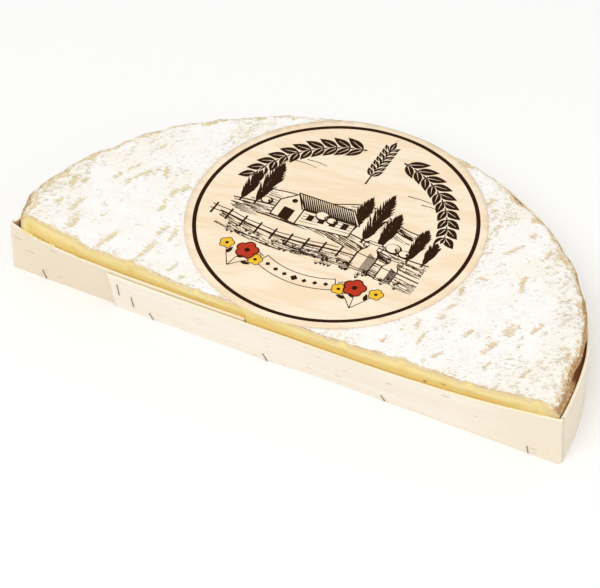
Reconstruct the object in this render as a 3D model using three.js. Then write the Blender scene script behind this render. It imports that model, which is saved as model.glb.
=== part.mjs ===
import * as THREE from "three";

// Half a wheel of soft cheese under a white mould rind, with a round paper label, in the
// half-round poplar tray that it is sold in. Millimetres, +Z up. X runs along the cut and
// Y from the cut to the round back. The work is laid out from the foot of the tray's front.

// Tray wall: one long veneer strip, folded at two corners, with its two ends lapped in front.
const WALL_RADIUS = 181.1;
const WALL_CENTRE_Y = -6.6;
const WALL_HEIGHT = 35;
const WALL_THICKNESS = 1.6;
const FOLD_RADIUS = 2.4;
const GAP = 0.3;

// The soft cheese pushes the front wall's top edge out. The bow is flat-topped left of the
// middle, where the lap stiffens the wall, and deeper and rounder right of it.
const LEFT_BOW = 8;
const LEFT_BOW_POWER = 7;
const RIGHT_BOW_EXTRA = 1.6;
const RIGHT_BOW_POWER = 3;
const BOW_GROWS_FROM = -20;
const BOW_GROWS_TO = 35;

// The lap: the outer end of the strip stands lower than the inner end that it covers, and
// comes up to it in two slow rises, past the lap and towards the right corner.
const LAP_LEFT = -109;
const LAP_RIGHT = -18;
const LAP_DROP = 2.3;
const LAP_SETTLES_WITHIN = 50;
const LAP_RISES = [
  { height: 1.6, from: -80, to: 30 },
  { height: 0.7, from: 120, to: 176 },
];

// Board inside the wall's foot, with its two sharp corners cut off.
const BOARD_THICKNESS = 6;
const BOARD_CORNER = 2;

// Cheese: a wheel of its own radius, held in by the tray, and cut along its front.
const WHEEL_RADIUS = 185.3;
const WHEEL_CENTRE_Y = -16.5;
const CHEESE_TOP = 45.5;
const CHEESE_FOOT = BOARD_THICKNESS + GAP;
const RIM_SHOULDER = 8;
const RIM_FOOT_ROUND = 7;
const RIM_CLEARANCE = 0.9;
const RIM_OVERHANG_RIGHT = 1.4;
const RIM_OVERHANG_LEFT = 3.6;
const OVERHANG_FADE_ANGLES = [0.1, 0.3];
const CUT_CLEARANCE = 0.5;
const CUT_EDGE_ROUND = 1.2;

// The left end of the rim draws in from the tray's corner.
const LEFT_END_DRAW = 14;
const LEFT_END_REACH = 8;

// Above the wall, rim and cut face swell over the wall's edge, the cut in long soft waves.
const SWELL_STARTS = 35.4;
const SWELL_FULL = 38.5;
const CUT_SWELL = 9.3;
const SWELL_POWER = 3;
const SWELL_WAVE = 1.1;
const SWELL_WAVE_LENGTH = 90;
const SWELL_CREST_X = -50;
const LEFT_SET_BACK = 2.2;
const LEFT_SET_BACK_FROM = -122;
const LEFT_SET_BACK_TO = -140;

// Rim waves, each with its count round a full turn, its height and its start.
const RIM_WAVES = [
  { turns: 7, height: 0.45, start: 0.6 },
  { turns: 13, height: 0.3, start: 2.1 },
];

// Paper label on top, drooping where it passes the rim's shoulder at the back.
const LABEL_RADIUS = 89.5;
const LABEL_CENTRE = new THREE.Vector2(-3.6, 79);
const LABEL_THICKNESS = 0.4;
const LABEL_DROOP = 0.025;
const LABEL_SIDES = 64;
const LABEL_FLAT_SHARE = 0.915;

// Staples: bent wire across the wall's foot, slanting from upper left to lower right, and two
// nearly upright ones on the lap. Each slant is in degrees from upright.
const WIRE_RADIUS = 0.35;
const WIRE_SIDES = 6;
const WIRE_STEPS = 12;
const STAPLE_STAND_OFF = 1.1;
const STAPLE_BEND = 0.6;
const FRONT_STAPLES = [
  { x: -157.8, height: 3.9, length: 6.8, slant: 16 },
  { x: -103.4, height: 20.1, length: 11, slant: -2 },
  { x: -95.2, height: 12.2, length: 10.4, slant: 1 },
  { x: -83.8, height: 3.5, length: 5.6, slant: 20 },
  { x: -8, height: 3.8, length: 6.8, slant: 17 },
  { x: 68.4, height: 3.4, length: 5.6, slant: 19 },
  { x: 160.5, height: 3.5, length: 5.8, slant: 7 },
];
const BACK_STAPLE_COUNT = 5;
const BACK_STAPLE_START = 35;
const BACK_STAPLE_HEIGHT = 3.2;
const BACK_STAPLE_LENGTH = 5.2;
const BACK_STAPLE_SLANT = 24;
const BACK_STAPLE_SLANT_SPREAD = 9;

// Steps along the curves.
const FRONT_STEPS = 22;
const FOLD_STEPS = 4;
const BACK_STEPS = 60;
const RIM_STEPS = 46;
const ROUND_STEPS = 4;

const HALF_FRONT = Math.sqrt(WALL_RADIUS ** 2 - WALL_CENTRE_Y ** 2);
const FOLD_X = HALF_FRONT - FOLD_RADIUS;
const QUARTER_TURN = Math.PI / 2;
const HALF_TURN_DEGREES = 180;

function smoothRise(start, end, value) {
  const share = THREE.MathUtils.clamp((value - start) / (end - start), 0, 1);
  return share * share * (3 - 2 * share);
}

function degrees(angle) {
  return (angle * Math.PI) / HALF_TURN_DEGREES;
}

// Share of a bow at x: none from the folds on, all of it at the middle.
function bowShare(x, power) {
  return 1 - Math.min(1, Math.abs(x) / FOLD_X) ** power;
}

// Angle by which the front wall leans out at x.
function frontLean(x) {
  const most = LEFT_BOW + RIGHT_BOW_EXTRA * smoothRise(BOW_GROWS_FROM, BOW_GROWS_TO, x);
  const bow = most * bowShare(x, x < 0 ? LEFT_BOW_POWER : RIGHT_BOW_POWER);
  return Math.asin(bow / WALL_HEIGHT);
}

// A closed solid from rings of points. Each ring runs anticlockwise when seen from the last
// ring, and its second half doubles back beside its first, so strips between them close the ends.
function loft(rings) {
  const count = rings[0].length;
  const positions = rings.flat().flatMap((point) => point.toArray());
  const faces = [];
  for (let ring = 0; ring + 1 < rings.length; ring += 1) {
    for (let side = 0; side < count; side += 1) {
      const next = (side + 1) % count;
      const near = ring * count;
      const far = near + count;
      faces.push(near + side, near + next, far + next, near + side, far + next, far + side);
    }
  }
  const last = (rings.length - 1) * count;
  for (let side = 0; side + 1 < count / 2; side += 1) {
    const across = count - 1 - side;
    faces.push(across, across - 1, side + 1, across, side + 1, side);
    faces.push(last + side, last + side + 1, last + across - 1);
    faces.push(last + side, last + across - 1, last + across);
  }
  const geometry = new THREE.BufferGeometry();
  geometry.setAttribute("position", new THREE.Float32BufferAttribute(positions, 3));
  geometry.setIndex(faces);
  geometry.computeVertexNormals();
  return geometry;
}

// Tray wall

// A place on the strip: its outer foot, the way out of the tray, its lean and its height.
function frontPlace(x, setForward, height) {
  const foot = new THREE.Vector3(x, -setForward, 0);
  return { foot, out: new THREE.Vector3(0, -1, 0), lean: frontLean(x), height };
}

function backPlace(angle) {
  const out = new THREE.Vector3(Math.cos(angle), Math.sin(angle), 0);
  const foot = out.clone().multiplyScalar(WALL_RADIUS);
  foot.y += WALL_CENTRE_Y;
  return { foot, out, lean: 0, height: WALL_HEIGHT };
}

// How far forward the outer end of the strip stands, to pass over the inner end.
function lapForward(x) {
  return (WALL_THICKNESS + GAP) * (1 - smoothRise(LAP_RIGHT, LAP_RIGHT + LAP_SETTLES_WITHIN, x));
}

function lapHeight(x) {
  const start = WALL_HEIGHT - LAP_DROP;
  return LAP_RISES.reduce((sum, rise) => sum + rise.height * smoothRise(rise.from, rise.to, x), start);
}

// Places round one folded corner, from one way out to the next.
function foldPlaces(centre, fromAngle, toAngle) {
  const places = [];
  for (let step = 0; step <= FOLD_STEPS; step += 1) {
    const angle = THREE.MathUtils.lerp(fromAngle, toAngle, step / FOLD_STEPS);
    const out = new THREE.Vector3(Math.cos(angle), Math.sin(angle), 0);
    const foot = out.clone().multiplyScalar(FOLD_RADIUS).add(centre);
    places.push({ foot, out, lean: 0, height: WALL_HEIGHT });
  }
  return places;
}

function wallPlaces() {
  const cornerAngle = Math.asin((FOLD_RADIUS - WALL_CENTRE_Y) / WALL_RADIUS);
  const places = [];
  for (let step = 0; step < FRONT_STEPS; step += 1) {
    const x = THREE.MathUtils.lerp(LAP_LEFT, FOLD_X, step / FRONT_STEPS);
    places.push(frontPlace(x, lapForward(x), lapHeight(x)));
  }
  places.push(...foldPlaces(new THREE.Vector3(FOLD_X, FOLD_RADIUS, 0), -QUARTER_TURN, cornerAngle));
  for (let step = 1; step < BACK_STEPS; step += 1) {
    places.push(backPlace(THREE.MathUtils.lerp(cornerAngle, Math.PI - cornerAngle, step / BACK_STEPS)));
  }
  const leftFold = new THREE.Vector3(-FOLD_X, FOLD_RADIUS, 0);
  places.push(...foldPlaces(leftFold, Math.PI - cornerAngle, Math.PI + QUARTER_TURN));
  for (let step = 1; step <= FRONT_STEPS; step += 1) {
    places.push(frontPlace(THREE.MathUtils.lerp(-FOLD_X, LAP_RIGHT, step / FRONT_STEPS), 0, WALL_HEIGHT));
  }
  return places;
}

// Direction up the wall's face at a place.
function upTheWall(place) {
  const up = place.out.clone().multiplyScalar(Math.sin(place.lean));
  up.z = Math.cos(place.lean);
  return up;
}

function wallGeometry() {
  const rings = wallPlaces().map((place) => {
    const rise = upTheWall(place).multiplyScalar(place.height);
    const through = place.out.clone().multiplyScalar(-WALL_THICKNESS);
    const innerFoot = place.foot.clone().add(through);
    return [place.foot, innerFoot, innerFoot.clone().add(rise), place.foot.clone().add(rise)];
  });
  return loft(rings);
}

// Board

function boardGeometry() {
  const radius = WALL_RADIUS - WALL_THICKNESS - GAP;
  const front = WALL_THICKNESS + GAP;
  const start = Math.asin((front + BOARD_CORNER - WALL_CENTRE_Y) / radius);
  const frontEnd = Math.sqrt(radius ** 2 - (front - WALL_CENTRE_Y) ** 2) - BOARD_CORNER;
  const outline = new THREE.Shape();
  outline.moveTo(-frontEnd, front);
  outline.lineTo(frontEnd, front);
  outline.absarc(0, WALL_CENTRE_Y, radius, start, Math.PI - start, false);
  outline.closePath();
  const settings = { depth: BOARD_THICKNESS, bevelEnabled: false, curveSegments: BACK_STEPS };
  return new THREE.ExtrudeGeometry(outline, settings);
}

// Cheese

// How far the rim may pass over the wall at a height, growing from the right end to the left.
function rimOverhang(angle, z) {
  const [none, full] = OVERHANG_FADE_ANGLES;
  const fade = smoothRise(none, full, Math.min(angle, Math.PI - angle));
  const most = THREE.MathUtils.lerp(RIM_OVERHANG_RIGHT, RIM_OVERHANG_LEFT, angle / Math.PI);
  return most * fade * smoothRise(SWELL_STARTS, SWELL_FULL, z);
}

// Radius of the rim at a height before its edges are rounded, from the tray's own centre.
function rimRadius(angle, z) {
  const offset = WALL_CENTRE_Y - WHEEL_CENTRE_Y;
  const chord = Math.sqrt(WHEEL_RADIUS ** 2 - (offset * Math.cos(angle)) ** 2);
  const wheel = chord - offset * Math.sin(angle);
  const held = WALL_RADIUS - WALL_THICKNESS - RIM_CLEARANCE + rimOverhang(angle, z);
  const waves = RIM_WAVES.reduce((sum, wave) => {
    return sum + wave.height * (Math.sin(wave.turns * angle + wave.start) - 1);
  }, 0);
  const fromLeftEnd = WALL_RADIUS * (Math.PI - angle);
  const draw = LEFT_END_DRAW * Math.exp(-fromLeftEnd / LEFT_END_REACH);
  return Math.min(wheel, held) + waves - draw;
}

// How far the rounded foot and shoulder draw the rim in at a height.
function rimInset(z) {
  const below = Math.max(0, CHEESE_FOOT + RIM_FOOT_ROUND - z);
  const above = Math.max(0, z - (CHEESE_TOP - RIM_SHOULDER));
  const foot = RIM_FOOT_ROUND - Math.sqrt(Math.max(0, RIM_FOOT_ROUND ** 2 - below ** 2));
  const shoulder = RIM_SHOULDER - Math.sqrt(Math.max(0, RIM_SHOULDER ** 2 - above ** 2));
  return foot + shoulder;
}

// The cut face: along the leaning wall, then swelling over the wall's top edge.
function cutFace(x, z) {
  const alongWall = WALL_THICKNESS + CUT_CLEARANCE - Math.tan(frontLean(x)) * Math.min(z, WALL_HEIGHT);
  const wave = SWELL_WAVE * Math.cos((2 * Math.PI * (x - SWELL_CREST_X)) / SWELL_WAVE_LENGTH);
  const setBack = LEFT_SET_BACK * smoothRise(LEFT_SET_BACK_FROM, LEFT_SET_BACK_TO, x);
  const swollen = setBack - (CUT_SWELL + wave) * bowShare(x, SWELL_POWER);
  const share = smoothRise(SWELL_STARTS, SWELL_FULL, z);
  const edge = CUT_EDGE_ROUND * smoothRise(CHEESE_TOP - CUT_EDGE_ROUND, CHEESE_TOP, z);
  return THREE.MathUtils.lerp(alongWall, swollen, share) + edge;
}

function rimPoint(angle, z) {
  const radius = rimRadius(angle, z) - rimInset(z);
  return new THREE.Vector3(radius * Math.cos(angle), radius * Math.sin(angle) + WALL_CENTRE_Y, z);
}

// Angle at which the rim meets the cut face, found by going back and forth between them.
function endAngle(leftEnd, z) {
  const passes = 8;
  let angle = leftEnd ? Math.PI : 0;
  for (let pass = 0; pass < passes; pass += 1) {
    const corner = rimPoint(angle, z);
    const radius = rimRadius(angle, z) - rimInset(z);
    const rise = Math.asin((cutFace(corner.x, z) - WALL_CENTRE_Y) / radius);
    angle = leftEnd ? Math.PI - rise : rise;
  }
  return angle;
}

function cheeseRing(z) {
  const rightEnd = endAngle(false, z);
  const leftEnd = endAngle(true, z);
  const ring = [];
  for (let step = 0; step <= RIM_STEPS; step += 1) {
    ring.push(rimPoint(THREE.MathUtils.lerp(rightEnd, leftEnd, step / RIM_STEPS), z));
  }
  const rightX = ring[0].x;
  const leftX = ring[RIM_STEPS].x;
  for (let step = 1; step <= RIM_STEPS + 1; step += 1) {
    const x = THREE.MathUtils.lerp(leftX, rightX, step / (RIM_STEPS + 2));
    ring.push(new THREE.Vector3(x, cutFace(x, z), z));
  }
  return ring;
}

// Heights of the rings: close together where the foot and the shoulder turn.
function cheeseHeights() {
  const heights = [];
  for (let step = 0; step <= ROUND_STEPS; step += 1) {
    heights.push(CHEESE_FOOT + RIM_FOOT_ROUND * (1 - Math.cos((QUARTER_TURN * step) / ROUND_STEPS)));
  }
  heights.push((CHEESE_FOOT + CHEESE_TOP) / 2, SWELL_STARTS);
  for (let step = 0; step <= ROUND_STEPS; step += 1) {
    const turn = (QUARTER_TURN * step) / ROUND_STEPS;
    heights.push(CHEESE_TOP - RIM_SHOULDER * (1 - Math.sin(turn)));
  }
  return heights;
}

function cheeseGeometry() {
  return loft(cheeseHeights().map(cheeseRing));
}

// Label

function labelGeometry() {
  const inner = LABEL_RADIUS * LABEL_FLAT_SHARE;
  const profile = [
    new THREE.Vector2(0, 0),
    new THREE.Vector2(inner, 0),
    new THREE.Vector2(LABEL_RADIUS, 0),
    new THREE.Vector2(LABEL_RADIUS, LABEL_THICKNESS),
    new THREE.Vector2(inner, LABEL_THICKNESS),
    new THREE.Vector2(0, LABEL_THICKNESS),
  ];
  const geometry = new THREE.LatheGeometry(profile, LABEL_SIDES);
  geometry.rotateX(QUARTER_TURN);
  const shoulderY = WHEEL_CENTRE_Y + WHEEL_RADIUS - RIM_SHOULDER - LABEL_CENTRE.y;
  const points = geometry.getAttribute("position");
  for (let index = 0; index < points.count; index += 1) {
    const past = Math.max(0, points.getY(index) - shoulderY);
    points.setZ(index, points.getZ(index) - LABEL_DROOP * past * past);
  }
  return geometry;
}

// Staples

// One staple: its ends turn in to the wall, which lies in the plane z = 0, and its crown is along x.
function stapleGeometry(length) {
  const half = length / 2;
  const section = [];
  for (let side = 0; side < WIRE_SIDES; side += 1) {
    const angle = (side / WIRE_SIDES) * Math.PI * 2;
    section.push(new THREE.Vector2(WIRE_RADIUS * Math.cos(angle), WIRE_RADIUS * Math.sin(angle)));
  }
  const route = new THREE.CatmullRomCurve3([
    new THREE.Vector3(-half, 0, GAP),
    new THREE.Vector3(-half, 0, STAPLE_STAND_OFF - STAPLE_BEND / 2),
    new THREE.Vector3(STAPLE_BEND - half, 0, STAPLE_STAND_OFF),
    new THREE.Vector3(half - STAPLE_BEND, 0, STAPLE_STAND_OFF),
    new THREE.Vector3(half, 0, STAPLE_STAND_OFF - STAPLE_BEND / 2),
    new THREE.Vector3(half, 0, GAP),
  ]);
  const settings = { steps: WIRE_STEPS, extrudePath: route, bevelEnabled: false };
  return new THREE.ExtrudeGeometry(new THREE.Shape(section), settings);
}

// One staple on the wall at a place. A positive slant takes its lower end to the right, as seen
// from outside the wall.
function stapleMesh(name, place, height, length, slant) {
  const up = upTheWall(place);
  const right = new THREE.Vector3(-place.out.y, place.out.x, 0);
  const away = right.clone().cross(up);
  const crown = right.clone().multiplyScalar(Math.sin(degrees(slant)));
  crown.addScaledVector(up, -Math.cos(degrees(slant)));
  const mesh = new THREE.Mesh(stapleGeometry(length), finish("#6f6a63", 0.45, 0.9));
  mesh.name = name;
  const basis = new THREE.Matrix4().makeBasis(crown, away.clone().cross(crown), away);
  mesh.setRotationFromMatrix(basis);
  mesh.position.copy(place.foot).addScaledVector(up, height);
  return mesh;
}

function stapleMeshes() {
  const meshes = FRONT_STAPLES.map((staple, index) => {
    const setForward = staple.x > LAP_LEFT ? lapForward(staple.x) : 0;
    const place = frontPlace(staple.x, setForward, WALL_HEIGHT);
    return stapleMesh(`staple_front_${index + 1}`, place, staple.height, staple.length, staple.slant);
  });
  for (let index = 0; index < BACK_STAPLE_COUNT; index += 1) {
    const share = index / (BACK_STAPLE_COUNT - 1);
    const angle = THREE.MathUtils.lerp(BACK_STAPLE_START, HALF_TURN_DEGREES - BACK_STAPLE_START, share);
    const place = backPlace(degrees(angle));
    const slant = BACK_STAPLE_SLANT + BACK_STAPLE_SLANT_SPREAD * Math.sin(index * index);
    const name = `staple_back_${index + 1}`;
    meshes.push(stapleMesh(name, place, BACK_STAPLE_HEIGHT, BACK_STAPLE_LENGTH, slant));
  }
  return meshes;
}

// Assembly

function finish(color, roughness, metalness) {
  return new THREE.MeshStandardMaterial({ color, roughness, metalness });
}

function part(name, geometry, material) {
  const mesh = new THREE.Mesh(geometry, material);
  mesh.name = name;
  return mesh;
}

const label = part("label", labelGeometry(), finish("#f8e6cc", 0.7, 0));
label.position.set(LABEL_CENTRE.x, LABEL_CENTRE.y, CHEESE_TOP + GAP);

// The layout is moved so that the origin is under the middle of the whole, at the tray's foot.
const layout = new THREE.Group();
layout.add(
  part("cheese", cheeseGeometry(), finish("#f6f0e2", 0.85, 0)),
  part("tray_wall", wallGeometry(), finish("#f1e4ce", 0.75, 0)),
  part("tray_board", boardGeometry(), finish("#ead9bd", 0.8, 0)),
  label,
  ...stapleMeshes(),
);
const middle = new THREE.Box3().setFromObject(layout, true).getCenter(new THREE.Vector3());
layout.position.set(-middle.x, -middle.y, 0);

const brie = new THREE.Group();
brie.add(layout);

export default brie;
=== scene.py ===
"""Looks of a half wheel of soft white-rind cheese in its half-round veneer tray.

Shapes are worked out in millimetres in the tray's own layout: x runs along the cut, y = 0 is the
foot of the tray's front wall, and z is up. The layout's place method turns them into the frame's
metres.
"""
from __future__ import annotations

import enum
import logging
import math
from collections.abc import Callable
from dataclasses import dataclass, field

import bpy
import numpy as np
from mathutils import Color, Matrix, Vector
from mathutils.geometry import delaunay_2d_cdt


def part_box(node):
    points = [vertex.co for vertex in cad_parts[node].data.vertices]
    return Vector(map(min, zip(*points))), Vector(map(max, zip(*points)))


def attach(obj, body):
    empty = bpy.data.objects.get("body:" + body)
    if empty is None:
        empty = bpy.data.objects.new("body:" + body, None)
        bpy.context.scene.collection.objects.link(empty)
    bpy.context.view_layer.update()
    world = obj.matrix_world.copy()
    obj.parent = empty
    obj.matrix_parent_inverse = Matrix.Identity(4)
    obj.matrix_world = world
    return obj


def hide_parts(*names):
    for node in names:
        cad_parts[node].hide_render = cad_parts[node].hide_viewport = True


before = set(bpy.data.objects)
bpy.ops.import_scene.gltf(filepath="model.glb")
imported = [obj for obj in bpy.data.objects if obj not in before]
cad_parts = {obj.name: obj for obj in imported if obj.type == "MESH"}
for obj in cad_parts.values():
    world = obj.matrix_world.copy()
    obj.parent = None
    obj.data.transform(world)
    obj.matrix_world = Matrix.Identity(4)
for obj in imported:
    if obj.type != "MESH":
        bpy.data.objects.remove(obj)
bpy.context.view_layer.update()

LOG = logging.getLogger("looks")
MM = 0.001
BODY = "root"

Array = Points = Faces = np.ndarray
join = np.concatenate
Piece, Material = bpy.types.Object, bpy.types.Material
Node, Socket = bpy.types.Node, bpy.types.NodeSocket
Colour = tuple[float, float, float, float]
Pair = tuple[float, float]
Triple = tuple[float, float, float]


def tone(code: str) -> Colour:
    """Turns a display colour in hexadecimal digits into the linear colour that a shader takes."""
    shown = Color([int(code[start:start + 2], 16) / 255 for start in (1, 3, 5)])
    return (*shown.from_srgb_to_scene_linear(), 1.0)


def ramp(start: float, end: float, value: Array) -> Array:
    """Share from 0 at start to 1 at end, with a soft foot and a soft crest."""
    share = np.clip((value - start) / (end - start), 0.0, 1.0)
    return share * share * (3.0 - 2.0 * share)


def blend(low: Array, high: Array, share: Array) -> Array:
    """Value a share of the way from low to high."""
    return low + (high - low) * share


def fade(distance: Array, strength: float, reach: float) -> Array:
    """Strength that fades with the distance beyond 0."""
    return strength * np.exp(-np.maximum(0.0, distance) / reach)


def along(x: Array, y: Array, turn: float) -> Array:
    """Distance along a direction that is turned from x by some degrees."""
    return x * math.cos(math.radians(turn)) + y * math.sin(math.radians(turn))


def toward(turn: float) -> Array:
    """Step of one unit in a direction that is turned from x by some degrees."""
    return np.array((math.cos(math.radians(turn)), math.sin(math.radians(turn))))


def arc(radius: float, turns: Array) -> Array:
    """Points of an arc round the middle, at turns from x by some degrees."""
    turns = np.radians(turns)
    return radius * np.stack([np.cos(turns), np.sin(turns)], 1)


class PlaneNoise:
    """Smooth seeded noise on a plane, from -1 to 1, with features about one unit wide."""

    SIDE = 256
    LAYER_SHIFT = 17.3

    def __init__(self, seed: int) -> None:
        """Fills the lattice from a seed."""
        self.lattice = np.random.default_rng(seed).uniform(-1.0, 1.0, (self.SIDE, self.SIDE))

    def __call__(self, u: Array, v: Array) -> Array:
        """Noise at the places u, v.

        Args:
            u: Places along the first axis.
            v: Places along the second axis.

        Returns:
            One value for each place.
        """
        u, v = np.broadcast_arrays(np.asarray(u, float), np.asarray(v, float))
        column, row = np.floor(u).astype(int), np.floor(v).astype(int)
        across, up = ramp(0, 1, u - column), ramp(0, 1, v - row)
        left, right = column % self.SIDE, (column + 1) % self.SIDE
        low, high = row % self.SIDE, (row + 1) % self.SIDE
        foot = blend(self.lattice[left, low], self.lattice[right, low], across)
        head = blend(self.lattice[left, high], self.lattice[right, high], across)
        return blend(foot, head, up)

    def layered(self, u: Array, v: Array, layers: int = 3, keep: float = 0.5) -> Array:
        """Noise with finer and weaker layers on top.

        Args:
            u: Places along the first axis.
            v: Places along the second axis.
            layers: How many layers there are.
            keep: Strength of each layer as a share of the one before.

        Returns:
            One value for each place, about from -1 to 1.
        """
        total, weight, strength = 0.0, 0.0, 1.0
        for layer in range(layers):
            scale, offset = 2.0 ** layer, self.LAYER_SHIFT * layer
            total = total + strength * self(np.asarray(u) * scale + offset, np.asarray(v) * scale - offset)
            weight += strength
            strength *= keep
        return total / weight

    def sized(self, u: Array, v: Array, size: Pair, shift: Pair = (0.0, 0.0)) -> Array:
        """Noise of two layers with features of a size, from a stretch that is shifted by so many."""
        return self.layered(u / size[0] + shift[0], v / size[1] + shift[1], 2)

    def relief(self, u: Array, v: Array, form: Triple, shift: Pair = (0.0, 0.0)) -> Array:
        """Noise of two layers whose form is its size along each axis and its depth."""
        return form[2] * self.sized(u, v, form[:2], shift)


# Forms shared by the pieces


@dataclass(frozen=True)
class Layout:
    """Place of the tray's own layout in the frame."""

    board_front: float = 1.9

    def shift(self) -> float:
        """How far the frame's y lies from the layout's y, in millimetres."""
        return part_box("tray_board")[0].y / MM - self.board_front

    def place(self, points: Points) -> Points:
        """Moves layout points in millimetres to the frame, in metres."""
        return (np.asarray(points, float) + (0.0, self.shift(), 0.0)) * MM


@dataclass(frozen=True)
class TrayForm:
    """Sizes of the tray's wall, and the lines that other pieces follow."""

    radius: float = 181.1
    centre_y: float = -6.6
    height: float = 35.0
    thickness: float = 1.6
    fold_radius: float = 2.4
    gap: float = 0.3
    left_bow: float = 8.0
    left_bow_power: float = 7.0
    right_bow_extra: float = 1.6
    right_bow_power: float = 3.0
    bow_grows: Pair = (-20.0, 35.0)
    lap_left: float = -109.0
    lap_right: float = -18.0
    lap_drop: float = 2.3
    lap_settles_within: float = 50.0
    lap_rises: tuple[Triple, ...] = ((1.6, -80.0, 30.0), (0.7, 120.0, 176.0))
    side_bows: tuple[Triple, ...] = ((0.36, 0.12, 1.4), (3.065, 0.042, -2.2))

    def bowed(self, angle: Array) -> Array:
        """How far the round wall's top edge stands outward of its foot at an angle."""
        return sum(bow * np.exp(-((angle - middle) / width) ** 2) for middle, width, bow in self.side_bows)

    @property
    def fold_x(self) -> float:
        """Distance of each folded corner's centre from the middle."""
        return math.sqrt(self.radius ** 2 - self.centre_y ** 2) - self.fold_radius

    def bow_share(self, x: Array, power: Array) -> Array:
        """Share of a bow at x: none from the folds on, all of it at the middle."""
        return 1.0 - np.minimum(1.0, np.abs(x) / self.fold_x) ** power

    def lean(self, x: Array) -> Array:
        """Angle by which the front wall leans out at x."""
        most = self.left_bow + self.right_bow_extra * ramp(*self.bow_grows, x)
        power = np.where(np.asarray(x) < 0, self.left_bow_power, self.right_bow_power)
        return np.arcsin(most * self.bow_share(x, power) / self.height)

    def lap_forward(self, x: Array) -> Array:
        """How far forward the strip's outer end stands at x."""
        settled = ramp(self.lap_right, self.lap_right + self.lap_settles_within, x)
        return (self.thickness + self.gap) * (1.0 - settled)

    def lap_height(self, x: Array) -> Array:
        """Height of the strip's outer run at x."""
        rises = [height * ramp(start, end, x) for height, start, end in self.lap_rises]
        return self.height - self.lap_drop + sum(rises)


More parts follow.
